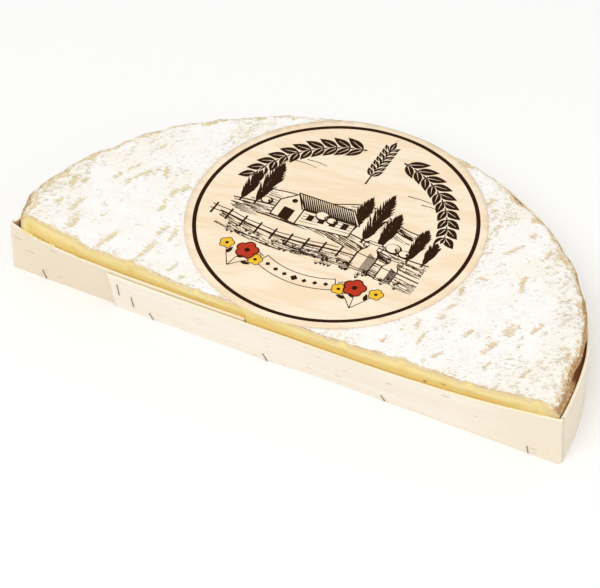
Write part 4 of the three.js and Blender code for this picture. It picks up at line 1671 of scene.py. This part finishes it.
    def _weather(self, points: Points, faces: Faces) -> tuple[Points, dict[str, Array]]:
        """Gives the plain form its relief, and works out what the finish needs.

        Returns:
            Moved points, and named numbers for each vertex.
        """
        form, pattern = self.form, RindPattern(self.form, self.label)
        x, y, z = points.T
        normal = vertex_normals(points, faces)
        centred = y - form.tray.centre_y
        angle = np.clip(np.arctan2(centred, x), 0.0, math.pi)
        outward = self._outward(x, centred, z, angle)
        from_cut = y - form.cut_y(x, form.top)
        height, worn, columns, busy = pattern.top(x, y, -outward, from_cut)
        rim_height, rim_worn, dark = pattern.rim(angle, outward)
        over = ramp(*self.shoulder_from, outward)
        below = self._below_rind(x, y, z, angle, from_cut, normal)
        on_cut = ramp(*self.cut_from, below) * ramp(*self.facing_front, normal[:, 1])
        moved = blend(height, rim_height, over)
        moved = blend(moved, self._cut_relief(x, z, below), on_cut)
        above = ramp(form.swell_starts, form.swell_full, z)
        points = points + normal * (moved * blend(self.held_relief, 1.0, above))[:, None]
        # painted shade on the rim's side below the wall's top, in the gap by the wall; fainter at the right
        # and at the left end
        gap = ramp(*self.gap_shade_below, z)
        gap = gap * blend(0.15, 1.0, ramp(*self.gap_shade_fades_right, angle))
        gap = gap * blend(1.0, 0.3, ramp(*self.gap_shade_fades_left, angle))
        near_rim = ramp(*self.rim_wear_from, outward)
        # dark: the rim's browner far side with painted shade; gap and pit: painted shade
        fields = {"worn": worn * (1.0 - over), "rim": rim_worn * near_rim, "dark": dark * over, "gap": gap,
                  "columns": columns, "busy": busy, "below_rind": below,
                  "pit": self._pitted(x, z) * on_cut}
        return points, fields

    def _outward(self, x: Array, centred: Array, z: Array, angle: Array) -> Array:
        """Distance over the shoulder from where it starts, less than 0 on the flat."""
        form = self.form
        distance = np.hypot(x, centred)
        flat = distance - (form.radius(angle, form.top) - form.shoulder)
        sine = np.clip(1.0 - (form.top - z) / form.shoulder, 0.0, 1.0)
        turned = (math.pi / 2 - np.arcsin(sine)) * form.shoulder
        beyond = np.maximum(0.0, form.top - form.shoulder - z)
        return np.where(z < form.top - 1e-6, turned + beyond, flat)

    def _below_rind(self, x: Array, y: Array, z: Array, angle: Array, from_cut: Array,
                    normal: Array) -> Array:
        """Signed distance into the paste from the rind's edge, less than 0 on the rind."""
        form = self.form
        on_face = np.abs(y - form.cut_y(x, z)) < 1e-6
        levels = np.unique(z)
        ends = np.array([[form.rim_point(form.end_angle(left, level), level)[0] for left in (True, False)]
                         for level in levels])
        index = np.searchsorted(levels, z)
        from_sides = np.minimum(x - ends[index, 0], (ends[index, 1] - x) * self.right_end_share)
        face = np.minimum(form.top - z, np.maximum(0.0, from_sides))
        behind = -np.maximum(0.0, from_cut)
        below = np.where(on_face, face, behind)
        for place, reach, width in self.lobes:
            below = below + reach * np.exp(-((x - place) / width) ** 2) * ramp(*self.lobe_from, below)
        return below

    def _cut_relief(self, x: Array, z: Array, below: Array) -> Array:
        """Relief of the cut: slow swells, a lip of rind along the top, and a few pits."""
        swell, drag, lip = (PlaneNoise(self.seed + step) for step in range(3))
        relief = swell.relief(x, z, self.swells) + drag.relief(x, z, self.drags)
        overhang = self.lip_depth * np.maximum(0.0, lip.layered(x / self.lip_size, 2.0, 3) + 0.2)
        relief = relief + overhang * (1.0 - ramp(*self.lip_ends, below))
        return relief - self.pit_depth * self._pitted(x, z)

    def _pitted(self, x: Array, z: Array) -> Array:
        """Closeness to the middle of a small pit in the cut, from 0 to 1."""
        wide, high = self.pit_reach
        near = [((x - place) / wide) ** 2 + ((z - level) / high) ** 2 for place, level in self.pits]
        return sum(np.exp(-distance) for distance in near)


# Label


class Ink(enum.Enum):
    """What a stretch of the label shows."""

    PAPER = 0
    BROWN = 1
    RED = 2
    YELLOW = 3


@dataclass
class Print:
    """Flat printed shapes in order, each an ink and its outline. Later ones cover earlier ones."""

    shapes: list[tuple[Ink, Array]] = field(default_factory=list)

    def area(self, ink: Ink, outline: Array) -> None:
        """Adds a shape by its outline, turned to run anticlockwise."""
        outline = np.asarray(outline, float)
        following = np.roll(outline, -1, 0)
        signed = np.sum(outline[:, 0] * following[:, 1] - following[:, 0] * outline[:, 1])
        self.shapes.append((ink, outline if signed > 0 else outline[::-1]))

    def disc(self, ink: Ink, centre: Array, radius: float, sides: int = 24, squash: float = 1.0) -> None:
        """Adds a round or oval shape."""
        turn = np.linspace(0.0, 2 * math.pi, sides, endpoint=False)
        self.area(ink, np.stack([centre[0] + radius * np.cos(turn),
                                 centre[1] + radius * squash * np.sin(turn)], 1))

    def stroke(self, route: Array, width: float, end_width: float | None = None,
               ink: Ink = Ink.BROWN) -> None:
        """Adds a line along a route, tapering to its end width.

        Args:
            route: Points that it passes.
            width: Width at the start.
            end_width: Width at the end, or None for the same.
            ink: Its ink.
        """
        route = np.asarray(route, float)
        heading = np.gradient(route, axis=0)
        heading /= np.maximum(np.linalg.norm(heading, axis=1, keepdims=True), 1e-9)
        side = np.stack([-heading[:, 1], heading[:, 0]], 1)
        last = width if end_width is None else end_width
        half = np.linspace(width, last, len(route))[:, None] / 2
        self.area(ink, join([route + side * half, (route - side * half)[::-1]]))

    def lines(self, places: list, width: float) -> None:
        """Adds a straight line from each place to the next."""
        for start, end in zip(places[:-1], places[1:]):
            self.stroke([start, end], width)

    def leaf(self, foot: Array, turn: float, length: float, width: float, ink: Ink = Ink.BROWN) -> None:
        """Adds a pointed leaf from its foot, turned from x by degrees."""
        share = np.linspace(0.0, 1.0, 9)
        half = width / 2 * np.sin(math.pi * share ** 0.8)
        upper = np.stack([share * length, half], 1)
        outline = join([upper, (upper * (1.0, -1.0))[-2:0:-1]])
        cosine, sine = toward(turn)
        turned = outline @ np.array(((cosine, sine), (-sine, cosine)))
        self.area(ink, turned + np.asarray(foot, float))


@dataclass(frozen=True)
class Hill:
    """A ridge whose line has waves of a height, a length and a start, with strokes under it."""

    level: float
    waves: tuple[Triple, ...]
    ends: Pair
    width: float
    strokes: int
    lengths: Pair
    lean: float

    def line(self, x: Array) -> Array:
        """Height of the ridge at x."""
        return sum((height * np.sin(x / length + start) for height, length, start in self.waves), self.level)


@dataclass
class Landscape(Print):
    """A small farm landscape in strokes: hills, trees, a barn, a fence and two churns."""

    far: Hill = Hill(8.0, ((5.0, 17.0, 0.8), (2.0, 7.0, 0.0)), (-50, 50), 0.8, 130, (5, 14), 34)
    near: Hill = Hill(-9.0, ((3.4, 21.0, 2.4),), (-57, 58), 0.9, 150, (5, 15), 22)
    front: Hill = Hill(-24.0, ((2.2, 15.0, 0.0),), (-58, 59), 0.9, 150, (4, 12), 14)
    poplars: tuple[Triple, ...] = ((-53, 25, 8.0), (-45.0, 34, 9.5), (9, 31, 8.6), (18.5, 39, 10.0),
                                   (28, 29, 8.6), (46, 26, 8.4), (54.5, 19, 7.0))
    barn_corner: Pair = (-34.0, -13.0)
    barn_size: float = 1.35
    bushes: tuple[Pair, ...] = ((-8, 4.2), (-2, 3.2), (36, 4.6), (43, 3.6), (-40, 3.4))
    curl: tuple[Pair, ...] = ((0.0, 0.0), (1.0, -0.9), (1.9, -0.5))
    churns: tuple[Triple, ...] = ((26.0, -31.0, 24.0), (41.0, -33.0, 19.0))
    churn_side: tuple[Pair, ...] = ((1.0, 0.0), (1.04, 0.5), (0.9, 0.62), (0.5, 0.74), (0.46, 0.86),
                                    (0.72, 0.9), (0.7, 0.96))
    tufts: int = 60
    blades: tuple[float, ...] = (-34, -15, 4, 22, 40)
    clouds: tuple[Triple, ...] = ((-36, 29, 15), (-30, 32.5, 12), (33, 31, 17), (39, 28, 11))
    seed: int = 5

    def draw(self) -> None:
        """Draws the landscape from back to front."""
        chance = np.random.default_rng(self.seed)
        self._hill(self.far, chance)
        self._poplars(chance)
        self._hill(self.near, chance)
        self._barn()
        self._bushes(chance)
        self._hill(self.front, chance)
        self._fence()
        for x, y, height in self.churns:
            self._churn(x, y, height)
        for _ in range(self.tufts):
            foot = (chance.uniform(-50, 52), -35.0 + chance.uniform(-2.0, 6.0))
            for turn in self.blades:
                heading = toward(90 + turn + chance.uniform(-5, 5))
                self.stroke([foot, foot + chance.uniform(2.2, 4.2) * heading], 0.5, 0.12)
        for x, y, length in self.clouds:
            self.stroke([(x - length / 2, y), (x, y + 0.6), (x + length / 2, y)], 0.6, 0.3)

    def _hill(self, hill: Hill, chance: np.random.Generator) -> None:
        """Adds a ridge line and strokes that follow the slope under it."""
        x = np.linspace(*hill.ends, 44)
        self.stroke(np.stack([x, hill.line(x)], 1), hill.width)
        for _ in range(hill.strokes):
            start = chance.uniform(*hill.ends)
            drop = chance.uniform(1.2, 9.5)
            length = chance.uniform(*hill.lengths)
            reach = np.linspace(start, min(start + length, hill.ends[1]), 5)
            fall = np.linspace(0, length * math.tan(math.radians(hill.lean)) * 0.25, 5)
            self.stroke(np.stack([reach, hill.line(reach) - drop - fall], 1), 0.62, 0.2)

    def _poplars(self, chance: np.random.Generator) -> None:
        """Adds tall trees of upward boughs, thin on the lit side and heavy on the other."""
        for x, height, width in self.poplars:
            foot = float(self.near.line(x)) - 1.0
            self.leaf((x, foot + 0.5), 90.0, height + 2.0, width, Ink.PAPER)
            self.stroke([(x, foot - 1.0), (x, foot + height * 0.8)], 1.3, 0.5)
            boughs = int(height / 1.2)
            for step in range(boughs):
                up = step / boughs
                half = width / 2 * math.sin(math.pi * (0.1 + 0.86 * up) ** 0.7)
                y = foot + 1.0 + up * (height - 3.0)
                turn = 24.0 + chance.uniform(-5.0, 7.0)
                self.leaf((x - 0.2, y), 90.0 - turn, half * 2.3 + 0.8, 1.75)
                self.leaf((x, y + 0.5), 90.0 + turn, half * 2.1 + 0.8, 0.95)
            self.leaf((x, foot + height * 0.82), 90.0, height * 0.2, 1.9)

    def _spots(self, *places: Pair) -> list[Pair]:
        """Places on the sheet of places on the barn."""
        left, foot = self.barn_corner
        return [(left + across * self.barn_size, foot + up * self.barn_size) for across, up in places]

    def _barn(self) -> None:
        """Adds a low barn with a long dark roof."""
        wall = self._spots((0, 0), (11, -1.2), (11, 8.0), (5.5, 14.5), (0, 8.8))
        side = self._spots((11, -1.2), (33, 1.4), (33, 9.2), (11, 8.0))
        roof = self._spots((10.2, 7.4), (34.5, 8.6), (29, 15.6), (5.0, 15.2))
        for outline in (wall, side, roof):
            self.area(Ink.PAPER, outline)
        for outline in (wall, side, roof):
            self.lines(outline + outline[:1], 0.8)
        for step in range(24):
            along_roof, share = step / 24 * 22.6, step / 24
            slate = self._spots((6.4 + along_roof, 15.1 + share * 0.3), (11.4 + along_roof, 7.6 + share))
            self.stroke(slate, 0.55, 1.05)
        for row in range(5):
            up = 1.2 + row * 1.5
            self.stroke(self._spots((12.0, up), (20.0 + row, up + 0.9)), 0.4, 0.2)
            self.stroke(self._spots((25.0 - row, up + 1.3), (32.5, up + 2.2)), 0.25, 0.45)
        self.area(Ink.BROWN, self._spots((3.2, -0.3), (8.0, -0.8), (8.0, 5.6), (3.2, 6.0)))
        for step in range(4):
            left, foot = 14.0 + step * 4.7, 2.6 + step * 0.5
            right = left + 2.5
            window = self._spots((left, foot), (right, foot + 0.3), (right, foot + 3.6), (left, foot + 3.3))
            self.area(Ink.BROWN, window)
        self.disc(Ink.BROWN, *self._spots((5.5, 10.4)), 1.6, 14)

    def _bushes(self, chance: np.random.Generator) -> None:
        """Adds round bushes made of short curls."""
        for x, radius in self.bushes:
            foot = float(self.near.line(x))
            self.disc(Ink.BROWN, (x, foot + radius * 0.7), radius, 22, 0.85)
            self.disc(Ink.PAPER, (x - 0.5, foot + radius * 0.8), radius - 0.9, 22, 0.82)
            for _ in range(12):
                turn = chance.uniform(-0.6, 1.3)
                reach = chance.uniform(0.2, 0.85) * (radius - 0.8)
                start = (x + reach * math.cos(turn), foot + radius * 0.7 + reach * math.sin(turn) * 0.8)
                self.stroke(np.add(start, self.curl), 0.45, 0.2)

    def _fence(self) -> None:
        """Adds a fence of posts and two rails."""
        for x in np.arange(-62.0, 12.0, 9.2):
            foot = float(self.front.line(x))
            self.stroke([(x, foot - 4.5), (x + 0.2, foot + 4.5)], 1.25, 1.1)
        x = np.linspace(-64.0, 10.0, 26)
        for rail in (-0.6, 2.6):
            self.stroke(np.stack([x, self.front.line(x) + rail + 0.25 * np.sin(x / 3.0)], 1), 0.6)

    def _churn(self, x: float, y: float, height: float) -> None:
        """Adds a milk churn, shaded on its right."""
        half = height * 0.25
        right = np.array(self.churn_side) * (half, height)
        outline = join([right, right[::-1] * (-1.0, 1.0)])
        self.area(Ink.BROWN, outline + (x, y))
        self.area(Ink.PAPER, outline * (0.84, 0.955) + (x, y + 0.55))
        for band in (0.08, 0.5, 0.9):
            level = y + height * band
            self.stroke([(x - half * 0.9, level), (x, level - 0.5), (x + half * 0.9, level)], 0.55)
        for step in range(9):
            across = x + half * (0.12 + 0.085 * step)
            self.stroke([(across, y + 0.8), (across, y + height * (0.6 - 0.012 * step))], 0.3, 0.36)
        grip = np.linspace(-0.2, math.pi - 0.4, 8)
        for side in (1, -1):
            across = x + side * (half * 0.62 + 1.7 * np.sin(grip))
            self.stroke(np.stack([across, y + height * 0.8 - 2.6 * np.cos(grip) + 0.6], 1), 0.6)


@dataclass
class LabelDesign(Print):
    """A plain ring round a small farm landscape, with a garland over it and flowers below."""

    ring_radius: float = 83.5
    ring_width: float = 2.5
    ring_sides: int = 160
    land_scale: float = 1.13
    land_shift: Pair = (0.0, 4.0)
    garland_radius: float = 65.0
    garland_turns: Pair = (11.0, 80.0)
    garland_leaves: int = 10
    leaf_spread: float = 37.0
    ear_foot: Pair = (0.0, 37.0)
    ear_length: float = 33.0
    ribbon_turns: Pair = (243.0, 297.0)
    ribbon_edges: Pair = (57.5, 48.5)
    ribbon_tail: tuple[Pair, ...] = ((51.0, 1.5), (51.0, 11), (55.6, 7.5), (60.4, 10.5), (60.2, 1.2))
    sprig_foot: Pair = (40.0, -61.0)
    sprigs: tuple[tuple[float, float, float, Ink], ...] = (
        (48, 19.0, 3.9, Ink.YELLOW), (124, 17.0, 3.9, Ink.YELLOW), (92, 17.0, 6.0, Ink.RED))

    def draw(self) -> None:
        """Draws the whole print."""
        self._ring()
        self._garland()
        land = Landscape()
        land.draw()
        for ink, outline in land.shapes:
            self.area(ink, outline * self.land_scale + self.land_shift)
        self._ribbon()
        self._sprigs()

    def _ring(self) -> None:
        """Adds the ring as quarters of a band."""
        half = self.ring_width / 2
        for quarter in range(4):
            turn = np.linspace(quarter, quarter + 1, self.ring_sides // 4 + 1) * math.pi / 2
            circle = np.stack([np.cos(turn), np.sin(turn)], 1)
            inner = (circle * (self.ring_radius - half))[::-1]
            self.area(Ink.BROWN, join([circle * (self.ring_radius + half), inner]))

    def _garland(self) -> None:
        """Adds two leafy branches that meet in an ear of wheat at the top."""
        for side in (1, -1):
            branch = arc(self.garland_radius, 90 - side * np.linspace(*self.garland_turns, 30))
            self.stroke(branch, 1.3, 0.6)
            for step in range(self.garland_leaves):
                angle = 90 - side * (13 + 6.9 * step)
                foot = self.garland_radius * toward(angle)
                for spread, share, width in ((self.leaf_spread, 1.0, 6.0), (-self.leaf_spread, 0.86, 5.2)):
                    turn = angle - side * 90 + side * spread
                    self._veined_leaf(foot, turn, (14.5 - 0.4 * step) * share, width)
        self._ear()

    def _veined_leaf(self, foot: Array, turn: float, length: float, width: float) -> None:
        """Adds a leaf with a pale rib and a pale edge round it."""
        self.leaf(foot, turn, length + 0.9, width + 1.3, Ink.PAPER)
        self.leaf(foot, turn, length, width)
        heading = toward(turn)
        self.stroke([foot + heading * 1.5, foot + heading * length * 0.7], 0.5, 0.15, Ink.PAPER)

    def _ear(self) -> None:
        """Adds an upright ear of wheat."""
        foot, turn, length = np.array(self.ear_foot), 90.0, self.ear_length
        heading = toward(turn)
        self.stroke([foot, foot + heading * length], 1.1, 0.6)
        for step in range(6, -1, -1):
            grain = foot + heading * (length * 0.24 + step * length * 0.115)
            for side in (1, -1):
                tip = grain + 6.0 * toward(turn + side * 20)
                self.stroke([grain, tip + 7.0 * heading + (side * 1.5, 0.0)], 0.5, 0.15)
                self._veined_leaf(grain, turn + side * 38, 8.0, 3.6)
        self._veined_leaf(foot + heading * length, turn, 8.5, 3.8)

    def _ribbon(self) -> None:
        """Adds an empty ribbon below the land, with a row of plain lozenges."""
        for radius in self.ribbon_edges:
            self.stroke(arc(radius, np.linspace(*self.ribbon_turns, 24)), 0.6)
        for side in (1, -1):
            way = toward(270 + side * 27)
            across = np.array((-way[1], way[0])) * side
            self.stroke([way * 48.2, way * 57.8], 0.6)
            self.lines([way * out + across * beyond for out, beyond in self.ribbon_tail], 0.6)
            for step in range(5):
                near = way * 51.6 + across * (1.6 + 0.9 * step)
                self.stroke([near, near + way * 7.6], 0.3, 0.42)
        for step in range(-3, 4):
            way = toward(270 + step * 7.0)
            across = np.array((-way[1], way[0]))
            size = 1.7 if step else 2.5
            self.area(Ink.BROWN, [way * 53.0 + corner * size for corner in (way, across, -way, -across)])

    def _sprigs(self) -> None:
        """Adds sprigs of field flowers at both sides."""
        for side in (1, -1):
            foot = np.array(self.sprig_foot) * (side, 1.0)
            for angle, length, radius, ink in self.sprigs:
                turn = 90 - side * (90 - angle) + side * 14
                tip = foot + length * toward(turn)
                middle = (foot + tip) / 2 + (side * 0.8, 0.4)
                self.stroke([foot, middle, tip], 0.6, 0.45)
                self.leaf(middle, turn + side * 40, 6.5, 2.8)
                self._flower(tip, radius, ink)

    def _flower(self, centre: Array, radius: float, ink: Ink) -> None:
        """Adds an open flower of five petals."""
        for petal, reach, size, sides in ((Ink.BROWN, 0.62, 0.62, 16), (ink, 0.6, 0.5, 14)):
            for step in range(5):
                self.disc(petal, centre + radius * reach * toward(90 + 72 * step), radius * size, sides)
        self.disc(Ink.BROWN, centre, radius * 0.28, 12)


@dataclass
class PaperLabel:
    """The round label: one thin sheet whose printed shapes are stretches of its upper side."""

    form: LabelForm
    layout: Layout
    sides: int = 256
    grid: float = 4.0
    grid_margin: float = 1.5
    waves: Triple = (17.0, 17.0, 0.1)
    edge_lift: float = 0.12
    lift_reach: float = 9.0
    lift_size: float = 11.0
    seed: int = 31
    inks: tuple[tuple[str, str, str], ...] = (
        ("ink_brown", "#2b1406", "#452a16"),
        ("ink_red", "#b8321c", "#c85235"),
        ("ink_yellow", "#eebb2c", "#f3cc5c"),
    )

    def build(self) -> Piece:
        """Builds the label and dresses it."""
        flat, faces, inks = self._regions()
        x, y = flat[:, 0] + self.form.centre[0], flat[:, 1] + self.form.centre[1]
        lower = np.stack([x, y, self._underside(x, y)], 1)
        upper = lower + (0.0, 0.0, self.form.thickness)
        rim = np.argsort(np.arctan2(flat[:, 1], flat[:, 0]))
        rim = rim[np.hypot(flat[rim, 0], flat[rim, 1]) > self.form.radius - 0.01]
        count = len(flat)
        after = np.roll(rim, -1)
        skirt = join([np.stack([rim + count, after + count, after], 1),
                                np.stack([rim + count, after, rim], 1)])
        under = faces[:, ::-1] + count
        piece = make_piece("paper_label", join([upper, lower]),
                           join([faces, under, skirt]), self.layout)
        piece.data.materials.append(PaperFinish().material())
        for name, colour, thin in self.inks:
            piece.data.materials.append(InkFinish(name, tone(colour), tone(thin)).material())
        numbers = join([inks, np.zeros(len(under) + len(skirt), int)]).astype(np.int32)
        piece.data.polygons.foreach_set("material_index", numbers)
        return finish_piece(piece, "label_paper", "label")

    def _regions(self) -> tuple[Array, Faces, Array]:
        """Cuts the sheet along the outlines of its printed shapes.

        Returns:
            Flat points, triangles, and the ink's number for each triangle.
        """
        sheet = LabelDesign()
        sheet.draw()
        turn = np.linspace(0.0, 2 * math.pi, self.sides, endpoint=False)
        places = [np.stack([np.cos(turn), np.sin(turn)], 1) * self.form.radius]
        steps = np.arange(-self.form.radius, self.form.radius, self.grid)
        spread = np.stack(np.meshgrid(steps, steps), -1).reshape(-1, 2)
        places.append(spread[np.hypot(spread[:, 0], spread[:, 1]) < self.form.radius - self.grid_margin])
        loops, total = [], sum(len(group) for group in places)
        for _, outline in sheet.shapes:
            loops.append(list(range(total, total + len(outline))))
            places.append(outline)
            total += len(outline)
        given = [Vector(place) for place in join(places)]
        points, _, faces, _, _, sources = delaunay_2d_cdt(given, [], loops, 0, 1e-5)
        order = [ink.value for ink, _ in sheet.shapes]
        inks = np.array([order[max(source)] if source else 0 for source in sources])
        return np.array([tuple(point) for point in points]), np.array(faces), inks

    def _underside(self, x: Array, y: Array) -> Array:
        """Height of the sheet's underside, with slow waves and a droop past the shoulder."""
        noise = PlaneNoise(self.seed)
        waves = noise.relief(x, y, self.waves)
        edge = self.form.radius
        share = ramp(edge - self.lift_reach, edge, self.form.distance(x, y))
        lift = self.edge_lift * share * (0.5 + noise(x / self.lift_size + 40, y / self.lift_size))
        past = np.maximum(0.0, y - self.form.droop_starts_y)
        return self.form.underside + waves + lift - self.form.droop * past ** 2


def main() -> None:
    """Builds the stage and every piece in order."""
    logging.basicConfig(level=logging.INFO, format="%(message)s")
    layout, tray, label = Layout(), TrayForm(), LabelForm()
    cheese = CheeseForm(tray)
    Stage().build()
    TrayBoard().build()
    TrayWall(tray, layout).build()
    Staples(tray, layout).build()
    CheeseHalf(cheese, label, layout).build()
    PaperLabel(label, layout).build()


if __name__ == "__main__":
    main()
